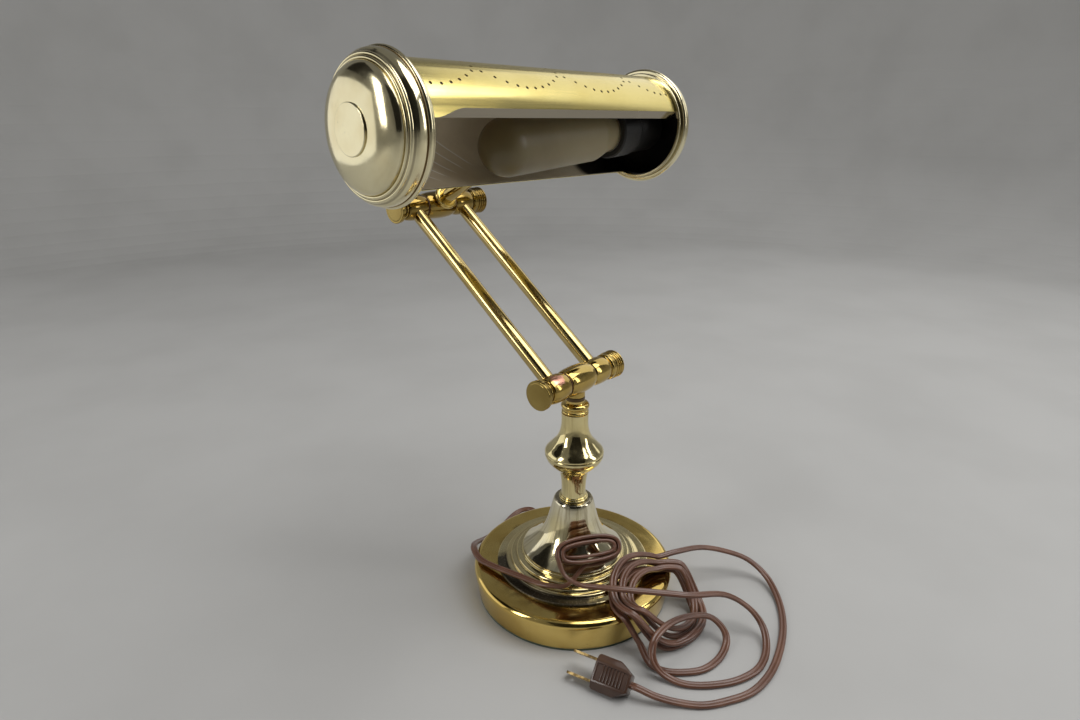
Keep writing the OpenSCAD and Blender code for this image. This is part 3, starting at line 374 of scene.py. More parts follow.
# %% The free stretches
EXIT_TURN, EXIT_R, EXIT_Z, PLUG_TURN = radians(60), 82, 7, radians(103)
exit_way = Vector((cos(EXIT_TURN), sin(EXIT_TURN), 0))
plug_way = Vector((cos(PLUG_TURN), sin(PLUG_TURN), 0))
CORD_EXIT = EXIT_R * exit_way + Vector((0, 0, EXIT_Z))
PLUG_MOUTH = Vector((-57, -90, 7.95))
lead = [CORD_EXIT, CORD_EXIT + CORD_W * exit_way, *map(Vector, [
    (44.5, 81, 6.5), (41, 86, 5.6), (35, 88, 4.8), (26, 87, 4.2), (15, 84, 4), (4, 81, 5), (-8, 77.5, 8),
    (-19, 73, 13), (-29, 68, 18.5), (-38, 62, 23.5), (-45, 54, 26), (-49, 44, 25.6), (-49, 32, 26),
    (-48, 18, 27.6), (-47, 4, 29.2), (-46, -8, 30.4), (-43, -18, 31.6), (-37, -26, 33.5)]),
    run_on(hank_ends), hank[0]]
bridge = [hank[-1], run_on(hank_ends[::-1]), *map(Vector, [
    (-40, -27, 41.5), (-38, -37, 39.5), (-32, -46, 39), (-24, -58, 39), (-16, -69, 38.5), (-7, -80, 37.5),
    (5, -92, 35), (28, -104, 28), (40, -116, 17), (40, -127, 8), (29, -135, 2.4), (12, -138, 1.4),
    (-5, -133, 1.4), (-19, -123, 1.4), (-29, -111, 1.4), (-33, -100, 3), (-34, -92.5, 7.5), (-31.5, -88, 13.5),
    (-24, -86, 18.5), (-9, -87, 19.5), (6, -92, 18), (18, -100, 14.5), (20, -109, 9), (16, -114, 3.5),
    (3, -116, 1.4), (-12, -113, 1.4), (-23, -104, 1.4), (-29, -95, 1.4), (-30, -86, 2.2)]),
    run_on(tangle_ends), tangle[0]]
tail = [tangle[-1], run_on(tangle_ends[::-1]), *map(Vector, [
    (47, -58, 29), (67, -66, 25.5), (82, -78, 20), (93, -91, 13), (93, -106, 6), (80, -121, 2), (60, -133, 1.4),
    (37, -141, 1.4), (13, -145, 1.4), (-8, -143, 1.4), (-24, -135, 1.4), (-36, -126, 1.4), (-44.5, -114.5, 2.2),
    (-51.5, -104, 4.8)]), PLUG_MOUTH - CORD_W * plug_way, PLUG_MOUTH]
print("free stretches of", len(lead), len(bridge), len(tail), "points")

# %% One line from the exit to the plug, and how much of it stands on edge
FINE, TWIST, LEAST_STEP = 5, 4, 0.3
cord_line, on_edge = [], []
for name, stretch in (("lead", lead), ("hank", hank), ("bridge", bridge), ("tangle", tangle), ("tail", tail)):
    fine = stretch if name in ("hank", "tangle") else through(stretch, FINE)
    for i, point in enumerate(fine):
        from_hank = (len(fine) - 1 - i if name == "lead" else i) / FINE - 1
        edge = {"hank": 1.0, "tangle": 0.0, "tail": 0.0}.get(name, max(0.0, 1 - max(0.0, from_hank) / TWIST))
        if not cord_line or (point - cord_line[-1]).length > LEAST_STEP:
            cord_line.append(point)
            on_edge.append(edge)
cord_length = sum((b - a).length for a, b in zip(cord_line, cord_line[1:])) * MM
print("cord", len(cord_line), "points,", round(cord_length, 3), "m")

# %% [markdown]
# ### Rings along the cord
# The section of the cord is two round wires side by side with a groove between them. One ring of it is drawn,
# then extruded again and again, and each new ring is moved to the next point of the line. The top of the
# section follows the table, or the hank's own axis where the cord stands on edge.

# %% The cord's section and the extrusion
LOBE, HALF_GAP, GROOVE = CORD_T / 2, (CORD_W - CORD_T) / 2, 0.72
lobe_angles = [radians(a) for a in (-124, -93, -62, -31, 0, 31, 62, 93, 124)]
section = [(HALF_GAP + LOBE * cos(a), LOBE * sin(a)) for a in lobe_angles]
section = [*section, (0, GROOVE), *[(-x, -y) for x, y in section], (0, -GROOVE)]


def ring_at(i, flip):
    ahead = (cord_line[min(i + 1, len(cord_line) - 1)] - cord_line[max(i - 1, 0)]).normalized()
    up = on_edge[i] * flip[1] * hank_n.cross(ahead) + (1 - on_edge[i]) * Vector((0, 0, flip[0]))
    side = ahead.cross(up).normalized()
    lift = side.cross(ahead)
    return [(cord_line[i] + x * side + y * lift) * MM for x, y in section]


def which_up(i, flip):
    """Keeps the cord from turning over where it comes off the hank's edge."""
    ahead = (cord_line[i + 1] - cord_line[i - 1]).normalized()
    return 1 if flip * hank_n.cross(ahead).z > 0 else -1


def outward(shape):
    bmesh.ops.recalc_face_normals(shape, faces=shape.faces)


FULLY_ON_EDGE, IN_HANK = 12, 40
first_edge = next(i for i, e in enumerate(on_edge) if e > 0)
last_edge = max(i for i, e in enumerate(on_edge) if e > 0)
hank_flip = which_up(first_edge + FULLY_ON_EDGE, 1)
after_flip = which_up(last_edge - FULLY_ON_EDGE, hank_flip)
shape = bmesh.new()
order = shape.verts.layers.int.new("order")
ring = [shape.verts.new(p) for p in ring_at(0, (1, hank_flip))]
for k, vert in enumerate(ring):
    vert[order] = k
edges = [shape.edges.new((a, b)) for a, b in zip(ring, ring[1:] + ring[:1])]
shape.faces.new(reversed(ring))
for i in range(1, len(cord_line)):
    made = bmesh.ops.extrude_edge_only(shape, edges=edges)["geom"]
    fresh = {v for v in made if isinstance(v, bmesh.types.BMVert)}
    edges = [e for e in made if isinstance(e, bmesh.types.BMEdge) and set(e.verts) <= fresh]
    places = ring_at(i, (1 if i < first_edge + IN_HANK else after_flip, hank_flip))
    for vert in fresh:
        vert.co = places[vert[order]]
bmesh.ops.edgeloop_fill(shape, edges=edges)
outward(shape)
print("cord rings", len(cord_line), "faces", len(shape.faces), "turned over", hank_flip, after_flip)


# %% [markdown]
# ### Making an object out of a shape
# Every piece ends the same way: the shape becomes a mesh, gets its finish, is shaded smooth except over
# sharp edges, and rides on the body of the CAD node that it stands for.

# %% From shape to piece
def thing(name, shape, *finishes):
    mesh = bpy.data.meshes.new(name)
    shape.to_mesh(mesh)
    shape.free()
    for finish in finishes:
        mesh.materials.append(finish)
    mesh.shade_smooth()
    made = bpy.data.objects.new(name, mesh)
    scene.collection.objects.link(made)
    print(name, len(mesh.polygons), "faces")
    return made


def piece(name, shape, finish, *nodes, sharp=32, inside=()):
    made = thing(name, shape, finish, *inside)
    made.data.set_sharp_from_angle(angle=radians(sharp))
    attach(made, cad_nodes[nodes[0]]["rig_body"])
    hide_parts(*nodes)
    return made


# %% Brown vinyl
def vinyl(name, colour, worn, rough, shine, coat):
    place = new_finish(name)
    shade = tint(fade(cloud(place, 60, 3), 0.4, 0.7), colour, worn)
    dust = fade(cloud(place, 1500, 2), 0.68, 0.78) * fade(cloud(place, 90, 2), 0.45, 0.65)
    shade = tint(dust * 0.16, shade, (0.40, 0.33, 0.27))
    grain = cloud(place, 2200, 2)
    roughness = rough + fade(cloud(place, 120, 3), 0.4, 0.75) * 0.16 + dust * 0.2
    return dress(place, Base_Color=shade, Roughness=roughness, Specular_IOR_Level=shine, Coat_Weight=coat,
                 Coat_Roughness=0.12, Normal=bump(grain, 0.012, 0.3))


cord_vinyl = vinyl("brown_vinyl", (0.135, 0.056, 0.031), (0.180, 0.080, 0.046), 0.30, 0.5, 0.35)
plug_rubber = vinyl("brown_rubber", (0.064, 0.031, 0.019), (0.086, 0.045, 0.029), 0.30, 0.25, 0.6)
cord = piece("twin_cord", shape, cord_vinyl, "cord_lead", "cord_hank", "cord_bridge", "cord_tangle",
             "cord_tail", sharp=70)

# %% [markdown]
# ## The plug
# A small moulded plug: wide sloped faces beside a narrow panel, ribs across the panel to grip, and two flat
# blades. It has come to rest on one of its sloped faces. The body is the outline drawn up to a block, four cuts
# take the corners off, the edges are rounded, and the panel is an inset pushed down with ribs set into it.

# %% Rounding edges, drawing faces up, moving
def soften(shape, geom, size, segments, affect="EDGES"):
    """Rounds edges, or the corners of a bare wire, by size millimetres."""
    bmesh.ops.bevel(shape, geom=geom, offset=size * MM, offset_type="OFFSET", segments=segments, profile=0.5,
                    affect=affect, material=-1, clamp_overlap=affect == "EDGES")


def draw_up(shape, faces, x, y, z):
    """Extrudes faces and moves the new ones by x, y and z millimetres."""
    made = bmesh.ops.extrude_face_region(shape, geom=faces)["geom"]
    ends = [v for v in made if isinstance(v, bmesh.types.BMVert)]
    bmesh.ops.translate(shape, verts=ends, vec=(x * MM, y * MM, z * MM))


def at(place):
    return Matrix.Translation(Vector(place) * MM)


def move(shape, place):
    bmesh.ops.transform(shape, matrix=place, verts=shape.verts)


print("words for shapes ready")

# %% Plug body
PLUG_T, PLUG_W, PLUG_LEN, PANEL_W, SIDE_T = 10.0, 20.5, 22.5, 12.6, 3.2
slope = atan2((PLUG_T - SIDE_T) / 2, (PLUG_W - PANEL_W) / 2)
plug_place = at(PLUG_MOUTH) @ Matrix.Rotation(PLUG_TURN, 4, "Z") @ Matrix.Rotation(-slope, 4, "X")
plug_half = [(0, 5.25), (6, PLUG_W / 2 - 1.3), (8.5, PLUG_W / 2), (PLUG_LEN - 1, PLUG_W / 2),
             (PLUG_LEN, PLUG_W / 2 - 1)]
plug_edge = [*[(x, -y) for x, y in plug_half], *reversed(plug_half)]
shape = bmesh.new()
floor_face = shape.faces.new([shape.verts.new((x * MM, y * MM, -PLUG_T / 2 * MM)) for x, y in plug_edge])
draw_up(shape, [floor_face], 0, 0, PLUG_T)
for across in (-1, 1):
    for up in (-1, 1):
        cut = bmesh.ops.bisect_plane(
            shape, geom=shape.verts[:] + shape.edges[:] + shape.faces[:], dist=1e-7, clear_outer=True,
            plane_co=(0, across * PLUG_W / 2 * MM, up * SIDE_T / 2 * MM),
            plane_no=(0, across * sin(slope), up * cos(slope)))
        rim = [e for e in cut["geom_cut"] if isinstance(e, bmesh.types.BMEdge)]
        bmesh.ops.edgeloop_fill(shape, edges=rim)
outward(shape)
soften(shape, shape.edges[:], 0.55, 3)
print("plug body", len(shape.faces), "faces before its panel")

# %% Panel and ribs
RIBS, RIB_FIRST, RIB_PITCH, RIB_SIZE, RIB_SINK = 7, 4.9, 2.0, (0.95, 9.4, 1.2), 0.62
panel = max((f for f in shape.faces if f.normal.z > 0.99), key=lambda f: f.calc_area())
bmesh.ops.inset_region(shape, faces=[panel], thickness=0.9 * MM, depth=0, use_even_offset=True)
bmesh.ops.inset_region(shape, faces=[panel], thickness=0.3 * MM, depth=-0.7 * MM, use_even_offset=True)
for i in range(RIBS):
    rib = bmesh.ops.create_cube(shape, size=MM)["verts"]
    bmesh.ops.scale(shape, verts=rib, vec=RIB_SIZE)
    rib_at = ((RIB_FIRST + RIB_PITCH * i) * MM, 0, (PLUG_T / 2 - RIB_SINK) * MM)
    bmesh.ops.translate(shape, verts=rib, vec=rib_at)
    soften(shape, list({e for v in rib for e in v.link_edges}), 0.3, 2)
move(shape, plug_place)
plug = piece("plug_moulding", shape, plug_rubber, "plug_body", sharp=40)

# %% Plug blades
def blade_brass():
    place = new_finish("blade_brass")
    worn = fade(cloud(place, 300, 4), 0.42, 0.66)
    lines = cloud(place, 1800, 2)
    return dress(place, Base_Color=tint(worn, (0.34, 0.24, 0.10), (0.17, 0.115, 0.05)), Metallic=1.0,
                 Roughness=0.28 + worn * 0.2 + lines * 0.08, Normal=bump(lines, 0.01, 0.3))


BLADE_OFF, BLADE_T, BLADE_IN, BLADE_TIP, BLADE_HALF, HOLE_AT, HOLE_R = 6.35, 1.5, 13.55, 38.55, 3.15, 34.2, 1.6
shape = bmesh.new()
for side in (-1, 1):
    flat = [shape.verts.new((x * MM, side * BLADE_OFF * MM - BLADE_T / 2 * MM, z * BLADE_HALF * MM))
            for x, z in ((BLADE_IN, -1), (BLADE_TIP, -1), (BLADE_TIP, 1), (BLADE_IN, 1))]
    for a, b in zip(flat, flat[1:] + flat[:1]):
        shape.edges.new((a, b))
    soften(shape, flat[1:3], 1.9, 4, "VERTICES")
    rim = [e for e in shape.edges if e.is_wire and not e.link_faces]
    hole_place = at((HOLE_AT, side * BLADE_OFF - BLADE_T / 2, 0)) @ Matrix.Rotation(radians(90), 4, "X")
    hole = bmesh.ops.create_circle(shape, segments=20, radius=HOLE_R * MM, matrix=hole_place)["verts"]
    rim += list({e for v in hole for e in v.link_edges})
    sheet = bmesh.ops.triangle_fill(shape, edges=rim, use_beauty=True, use_dissolve=False)["geom"]
    draw_up(shape, [f for f in sheet if isinstance(f, bmesh.types.BMFace)], 0, BLADE_T, 0)
outward(shape)
move(shape, plug_place)
blades = piece("plug_prongs", shape, blade_brass(), "plug_blades", sharp=30)

# %% [markdown]
# ## Turned pieces
# Nearly all of the lamp was made on a lathe, and so it is here: an outline of radius and height, its corners
# rounded by a bevel on the bare wire, is spun once round. A bevel after the spin would work too, but it would
# have to find its edges among thousands. A long straight run gets a narrow strip at each end, so that the
# softness of a rounded corner stays at the corner and the run itself mirrors like a true flat or cylinder.
# The first turned piece is the ribbed sleeve where the cord leaves the drum, and with it the cord is complete.

# %% The lathe
LONG_RUN, STRIP, FLANK_STEPS = 2.4, 0.25, 8


def arc(r, h, size, start, stop, steps=10):
    turns = [radians(start + (stop - start) * i / steps) for i in range(steps + 1)]
    return [(r + size * cos(a), h + size * sin(a)) for a in turns]


def flank(knots, foot=0, high=1):
    """A smooth line through (radius, height) knots. With foot and high, a height is a share of high."""
    return [tuple(p) for p in through([Vector((r, foot + high * h)) for r, h in knots], FLANK_STEPS)]


def lathe(outline, rounds=(), steps=160, closed=True, place=None, mirror=False):
    """Spins (radius, height) points once round Z. rounds gives (size, point numbers) for soft corners."""
    shape = bmesh.new()
    wire = [shape.verts.new((r * MM, 0, h * MM)) for r, h in outline]
    for a, b in zip(wire, wire[1:] + wire[:1] if closed else wire[1:]):
        shape.edges.new((a, b))
    for size, numbers in rounds:
        soften(shape, [wire[n] for n in numbers], size, 4, "VERTICES")
    for edge in [e for e in shape.edges if e.calc_length() > LONG_RUN * MM]:
        length, (start, stop) = edge.calc_length(), edge.verts
        bmesh.utils.edge_split(edge, start, STRIP * MM / length)
        bmesh.utils.edge_split(edge, stop, STRIP * MM / (length - STRIP * MM))
    bmesh.ops.spin(shape, geom=shape.verts[:] + shape.edges[:], cent=(0, 0, 0), axis=(0, 0, 1),
                   angle=2 * pi, steps=steps, use_merge=True)
    bmesh.ops.remove_doubles(shape, verts=shape.verts, dist=1e-6)
    if mirror:
        bmesh.ops.scale(shape, verts=shape.verts, vec=(1, 1, -1))
    if place:
        move(shape, place)
    outward(shape)
    return shape


def turned(name, finish, node, outline, rounds=(), steps=112, place=None):
    piece(name, lathe(outline, rounds, steps, place=place), finish, node)


print("lathe ready")

ribs = [p for z, r, crest in ((72.6, 4.7, 5.0), (74.6, 4.3, 4.6), (76.6, 3.95, 4.2), (78.6, 3.6, 3.8))
        for p in ((r, z), (r, z + 0.8), (crest, z + 0.8), (crest - 0.1, z + 2))]
sleeve_line = [(0, 60), (4.95, 60), (4.95, 70.4), (6.1, 70.4), (6.1, 72.2), *ribs[:-1], (3.5, EXIT_R),
               (0, EXIT_R)]
turned("cord_sleeve", plug_rubber, "cord_relief", sleeve_line,
       [(0.25, [3, 4, 7, 8, 11, 12, 15, 16, 19, 20])], 64,
       Matrix.Rotation(EXIT_TURN, 4, "Z") @ at((0, 0, EXIT_Z)) @ ALONG_X)
[p * MM for p in cord_line]

# %% [markdown]
# ## Base and post
# The drum is one sheet of yellow brass, spun over a former. The foot, bell and vase are paler castings
# stacked on a pipe. The stack has dirt in the seams, and most of the plating on the foot's widest ring has
# gone black on one side, where the cord and many hands rubbed it. The drum's top is painted brown on the side
# towards the camera, a painted reflection of the foot, and the bell and vase carry soft dark vertical streaks,
# painted reflections of the room. The bell's flank and the two rings on its neck were measured in the photo
# once more, so they differ a little from the CAD.

# %% Finishes of the stack
FOOT_REFLECTION_BROWN, FLAKE = (0.26, 0.165, 0.05), (0.30, 0.26, 0.20)
# Colours of the painted reflection streaks on the bell and vase
BELL_REFLECTION_STREAK, POST_REFLECTION_STREAK = (0.30, 0.235, 0.12), (0.42, 0.31, 0.11)
FOOT_R = [53.5, 47.5, 44.0, 40.0, 36.0]


def drum_wear_and_painted_reflection(place, radius, height, angle):
    x, y, _ = parts(place)
    near_side = fade((x / radius) * -0.8 + (y / radius) * -0.6, 0.1, 0.7)
    on_top = past(height, DRUM_TOP - 0.6, DRUM_TOP - 0.2)
    by_foot = band(radius, 52.0, 53.7, 54.1, 58.0)
    # Painted reflection of the foot: brown on the drum's top, on the side towards the camera
    painted_foot_reflection = near_side * on_top * (1 - past(radius, 54.0, 66.0))
    ring = fade(cloud(vector(place, radius, height, angle * 0.003), 420, 3), 0.60, 0.72) * on_top
    # Darker in patches towards the bottom of the drum's side
    low = (1 - past(height, 1.6, 4.0)) * fade(cloud(place, 160, 4), 0.42, 0.62)
    return [(by_foot * fade(cloud(place, 120, 5, 0.65), 0.46, 0.66) * 0.6, YELLOW_STAIN, 0.2),
            (painted_foot_reflection * fade(cloud(place, 170, 6, 0.7), 0.36, 0.62) * 0.75, FOOT_REFLECTION_BROWN, 0.16),
            (ring * 0.12, YELLOW_STAIN, 0.08), (low * 0.5, YELLOW_STAIN, 0.2)]


def foot_wear(place, radius, height, angle):
    x, y, _ = parts(place)
    turned_to = (x / radius) * -0.998 + (y / radius) * -0.06
    black = past(radius, 46.2, 47.6) * fade(turned_to + (cloud(place, 110, 5, 0.7) - 0.5) * 0.5, 0.50, 0.70)
    flakes = fade(cloud(place, 700, 3), 0.54, 0.62)
    seam = sum(band(radius, r - 0.1, r + 0.15, r + 0.3, r + 0.8) for r in FOOT_R[:0:-1])
    return [(seam * fade(cloud(place, 150, 3), 0.3, 0.6) * 0.55, PALE_STAIN, 0.12),
            (black * 0.94, BLACKENED, 0.3), (black * flakes * 0.35, FLAKE, 0.0)]


def streaks(place, radius, height):
    """Soft dark lines down a turned piece: painted reflection streaks."""
    x, y, _ = parts(place)
    around = vector(place, x / radius * 0.012, y / radius * 0.012, height * 0.09)
    return fade(cloud(around, 420, 4, 0.6), 0.46, 0.68)


def bell_wear_and_painted_reflection(place, radius, height, angle):
    low = (1 - past(height, FOOT_TOP + 0.5, FOOT_TOP + 2.3)) * fade(cloud(place, 180, 4), 0.42, 0.65)
    neck = past(height, BELL_TOP - 1.2, BELL_TOP - 0.2)
    return [(streaks(place, radius, height) * 0.6, BELL_REFLECTION_STREAK, 0.05), (low * 0.5, PALE_STAIN, 0.2),
            (neck * 0.6, PALE_STAIN, 0.12)]


def post_wear_and_painted_reflection(place, radius, height, angle):
    seam = band(height, SPOOL_TOP - 0.8, SPOOL_TOP - 0.1, SPOOL_TOP + 0.2, SPOOL_TOP + 1.2)
    lip = band(height, SPOOL_TOP + 12.4, SPOOL_TOP + 13.0, SPOOL_TOP + 13.3, SPOOL_TOP + 13.8)
    return [(streaks(place, radius, height) * 0.4, POST_REFLECTION_STREAK, 0.05), (seam * 0.6, PALE_STAIN, 0.15),
            (lip * 0.5, PALE_STAIN, 0.1)]


drum_brass = spun_brass("drum_brass", GOLD, 0.08, rings=0.5, spots=drum_wear_and_painted_reflection)
foot_brass = spun_brass("foot_brass", PALE, 0.09, pits=0.4, spots=foot_wear)
bell_brass = spun_brass("bell_brass", SILVERED, 0.06, pits=0.6, rings=0.3, spots=bell_wear_and_painted_reflection)
post_brass = spun_brass("post_brass", POST, 0.06, rings=0.3, spots=post_wear_and_painted_reflection)
cap_brass = spun_brass("post_cap_brass", YELLOW, 0.09)
print("five finishes of the stack")

# %% Drum, foot and bell
BEND_IN, BEND_R, WALL, SKIRT_R, SKIRT_Z = 66, 4, 1.2, 67.5, 1.5
bend_z = DRUM_TOP - BEND_R
turned("base_drum", drum_brass, "base_shell",
       [(SKIRT_R, SKIRT_Z), *arc(BEND_IN, bend_z, BEND_R, 0, 90), (PIPE_R, DRUM_TOP), (PIPE_R, DRUM_TOP - WALL),
        *arc(BEND_IN, bend_z, BEND_R - WALL, 90, 0), (SKIRT_R - WALL, SKIRT_Z)], [(0.5, [0, -1])], 224)
foot_z = [DRUM_TOP, *[DRUM_TOP + FOOT_H * share for share in (0.14, 0.34, 0.545, 0.77, 1)]]
stairs = [(PIPE_R, DRUM_TOP)]
for r, low, high in zip(FOOT_R, foot_z, foot_z[1:]):
    stairs += [(r, low), (r, high)]
turned("foot_rings", foot_brass, "stepped_foot", [*stairs, (PIPE_R, FOOT_TOP)],
       [(0.95, [4, 6, 8, 10]), (0.7, [2]), (0.28, [3, 5, 7, 9])], 200)
bell_knots = ((35.0, 0.03), (30.6, 0.12), (25.6, 0.235), (22.3, 0.325), (20.3, 0.41), (18.3, 0.53),
              (16.5, 0.68), (14.8, 0.86), (13.7, 0.96), (12.6, 0.995))
turned("bell", bell_brass, "pedestal_bell",
       [(32.8, FOOT_TOP), (35.2, FOOT_TOP), *flank(bell_knots, FOOT_TOP, BELL_H), (11.2, BELL_TOP),
        (PIPE_R, BELL_TOP), (PIPE_R, 50)], [(0.4, [1])], 200)

# %% Rings, spool, vase and cap
turned("bell_rings", post_brass, "neck_ring",
       [(PIPE_R, BELL_TOP), *arc(9.5, BELL_TOP + 0.6, 0.6, -90, 90), *arc(8.8, BELL_TOP + 1.8, 0.6, -90, 90),
        (PIPE_R, RING_TOP)], (), 128)
spool_knots = ((8.6, 0), (8.3, 0.2), (8.6, 0.55), (9.2, 0.8), (10, 1))
turned("spool", post_brass, "waist_spool",
       [(PIPE_R, RING_TOP), *flank(spool_knots, RING_TOP, SPOOL_H), (PIPE_R, SPOOL_TOP)], (), 144)
under_lip = ((10.1, 0), (12.8, 0.06), (16, 0.13), (18.4, 0.2), (19.7, 0.265), (19.8, 0.305))
over_lip = ((19.5, 0.315), (20, 0.335), (19.1, 0.385), (15.8, 0.47), (12.5, 0.56), (10.5, 0.65), (9.4, 0.75),
            (9, 0.85), (9, 1))
turned("vase_body", post_brass, "vase",
       [(PIPE_R, SPOOL_TOP), *flank(under_lip, SPOOL_TOP, VASE_H), *flank(over_lip, SPOOL_TOP, VASE_H),
        (PIPE_R, VASE_TOP)], (), 176)
turned("swivel_cap", cap_brass, "post_cap",
       [(4.5, VASE_TOP), (7.8, VASE_TOP), *arc(7.8, VASE_TOP + 1.2, 1.2, -90, 60),
        *arc(7.25, VASE_TOP + 5.2, 2.2, -60, 75, 16), (6.7, VASE_TOP + 7.4), (6.4, VASE_TOP + 7.8),
        (6.4, CAP_TOP), (4.5, CAP_TOP)], (), 144)

# %% [markdown]
# ## Knuckles
# Both knuckles are the same: a bulged barrel between two rounded collars, a flat disc knob on the left end and
# a ringed cap on the right. They are turned about the bar, so the same lathe is used and the result is laid
# along X. The lower left collar has lost its lacquer in one spot and shows copper pink there. The upper knuckle
# is painted darker, a painted shadow of the shade above it, and both disc knobs are painted darker, a painted
# reflection of the floor in the lamp's shadow.

# %% Finishes of the knuckles
COPPER, COPPER_AT = (0.84, 0.42, 0.31), (-0.0225, -0.0040, 0.1668)


def copper_spot(place, radius, height, angle):
    mark = place.node("VectorMath", {"operation": "DISTANCE"}, {0: place, 1: COPPER_AT}, "Value")
    patch = 1 - past(mark + (cloud(place, 420, 4) - 0.5) * 0.007, 3.4, 5.8)
    return [(patch * 0.95, COPPER, 0.14)]


def knuckle_brass(name, centre, tone=OLIVE, polish=0.09, spots=()):
    return spun_brass(name, tone, polish, centre, (0, 90, 0), pits=0.6, spots=spots)


low_brass = knuckle_brass("low_knuckle_brass", LOW_BAR, spots=copper_spot)
# The upper knuckle is painted darker: a painted shadow of the shade above it
high_brass = knuckle_brass("high_knuckle_brass", HIGH_BAR, SHADOWED_BRASS)
# Both disc knobs are painted darker: a painted reflection of the floor in the lamp's shadow
low_disc = knuckle_brass("low_disc_brass", LOW_BAR, SHADOWED_DISC, 0.17)
high_disc = knuckle_brass("high_disc_brass", HIGH_BAR, SHADOWED_DISC, 0.17)
print("four finishes of the knuckles")

# %% Barrels, collars, knobs and ringed caps
BARREL = [(8.4, -12), (9.3, -7.5), (9.7, 0), (9.3, 7.5), (8.4, 12)]
COLLAR = [(8.2, -7.65), (8.9, -4.225), (9.1, 0), (8.9, 4.225), (8.2, 7.65)]
COLLAR_AT, CUFF_HALF, CUFF_END, END_AT, TAIL, AXLE_R = 21.2, 8.45, 7.4, 29.75, 12.5, 3.05


def dress_bar(level, bar, finish, disc_finish):
    flat = len(flank(COLLAR))
    for side, name in SIDES:
        turned(f"{level}_{name}_cuff", finish, f"{level}_collar_{name}",
               [(AXLE_R, -CUFF_HALF), (CUFF_END, -CUFF_HALF), *flank(COLLAR), (CUFF_END, CUFF_HALF),
                (AXLE_R, CUFF_HALF)], [(0.3, [1, 2, flat + 1, flat + 2])],
               place=at(bar + Vector((side * COLLAR_AT, 0, 0))) @ ALONG_X)
    turned(f"{level}_disc", disc_finish, f"{level}_knob",
           [(0, -37.25), (7.9, -37.25), (8.2, -37.05), (9.7, -37.25), (9.6, -34.25), (8.5, -33.45),
            (5.0, -33.05), (4.7, -31.55), (7.0, -31.05), (7.0, -30.05), (6.7, -29.75), (0, -29.75)],
           [(0.5, [3, 4]), (0.2, [1, 2]), (0.6, [5]), (0.4, [6, 7]), (0.3, [8, 9])], place=at(bar) @ ALONG_X)
    beads = [p for k in (0.42, 0.6, 0.76) for p in arc(8.7, END_AT + TAIL * k, 0.75, -80, 80)]
    turned(f"{level}_ringed_cap", finish, f"{level}_end_cap",
           [(0, END_AT), (8.1, END_AT), (9, END_AT + 1), (9, END_AT + TAIL * 0.3), *beads,
            (9.6, END_AT + TAIL * 0.86), (9.6, END_AT + TAIL * 0.93), (8, END_AT + TAIL * 0.98),
            (0, END_AT + TAIL)], [(0.3, [1, 2, -2, -3, -4])], place=at(bar) @ ALONG_X)


def join(shape, other):
    carrier = bpy.data.meshes.new("carrier")
    other.to_mesh(carrier)
    other.free()
    shape.from_mesh(carrier)
    bpy.data.meshes.remove(carrier)


dress_bar("lower", LOW_BAR, low_brass, low_disc)
dress_bar("upper", HIGH_BAR, high_brass, high_disc)
BARREL_HALF, BOSS_BORE, BOSS_R, BOSS_H = 12, 4.45, 6.4, 7.1
ends = len(flank(BARREL))
barrel_line = [(AXLE_R, -BARREL_HALF), *flank(BARREL), (AXLE_R, BARREL_HALF)]
turned("high_barrel", high_brass, "upper_barrel", barrel_line, [(0.45, [1, ends])], 128, at(HIGH_BAR) @ ALONG_X)
lower = lathe(barrel_line, [(0.45, [1, ends])], 128, place=at(LOW_BAR) @ ALONG_X)
join(lower, lathe([(BOSS_BORE, BOSS), (BOSS_R, BOSS), (BOSS_R, BOSS + BOSS_H), (BOSS_BORE, BOSS + BOSS_H)],
                  [(0.4, [1])], 96))
piece("low_barrel", lower, low_brass, "lower_barrel")

# %% [markdown]
# ## Rods and stem
# Three pieces of drawn brass tube. Drawing leaves a smooth, straight shine with faint lines along the tube, so
# the finish has no pits and hardly any change in roughness: a wavy highlight would look like cast metal. They
# are spun here too, with the ends rounded a little.

# %% Drawn brass
ROD, ROD_DEEP = (0.58, 0.45, 0.19), (0.47, 0.35, 0.13)
ROD_SEAT, ROD_R, ROD_BORE, STEM_SEAT, STEM_END = 5.6, 4.8, 3.2, 5, 84.9


def drawn_brass(name, centre, turn):
    place = new_finish(name)
    _, length, _, local = turned_frame(place, centre, turn)
    x, y, _ = parts(local)
    drawn = cloud(vector(place, x, y, length * 0.012), 900, 2)
    blots = fade(cloud(place, 60, 3), 0.42, 0.70)
    return dress(place, Base_Color=tint(blots, ROD, ROD_DEEP), Metallic=1.0,
                 Roughness=0.11 + blots * 0.02 + (drawn - 0.5) * 0.04)


def tube(name, centre, turn, node, brass, low, high):
    """A drawn tube from low to high, on an axis through centre that leans by turn about X."""
    finish = drawn_brass(brass, centre, (degrees(turn), 0, 0))
    turned(name, finish, node, [(ROD_BORE, low), (ROD_R, low), (ROD_R, high), (ROD_BORE, high)],
           [(0.3, [1, 2])], 96, at(centre) @ Matrix.Rotation(turn, 4, "X"))


for side, name in SIDES:
    rod_foot = LOW_BAR + Vector((side * COLLAR_AT, 0, 0))
    tube(f"arm_rod_{name}", rod_foot, -ARM_LEAN, f"rod_{name}", f"rod_brass_{name}", ROD_SEAT,
         ARM_LEN - ROD_SEAT)
tube("stem_tube", HIGH_BAR, pi / 2 - STEM_RISE, "shade_stem", "stem_brass", STEM_SEAT, STEM_END)

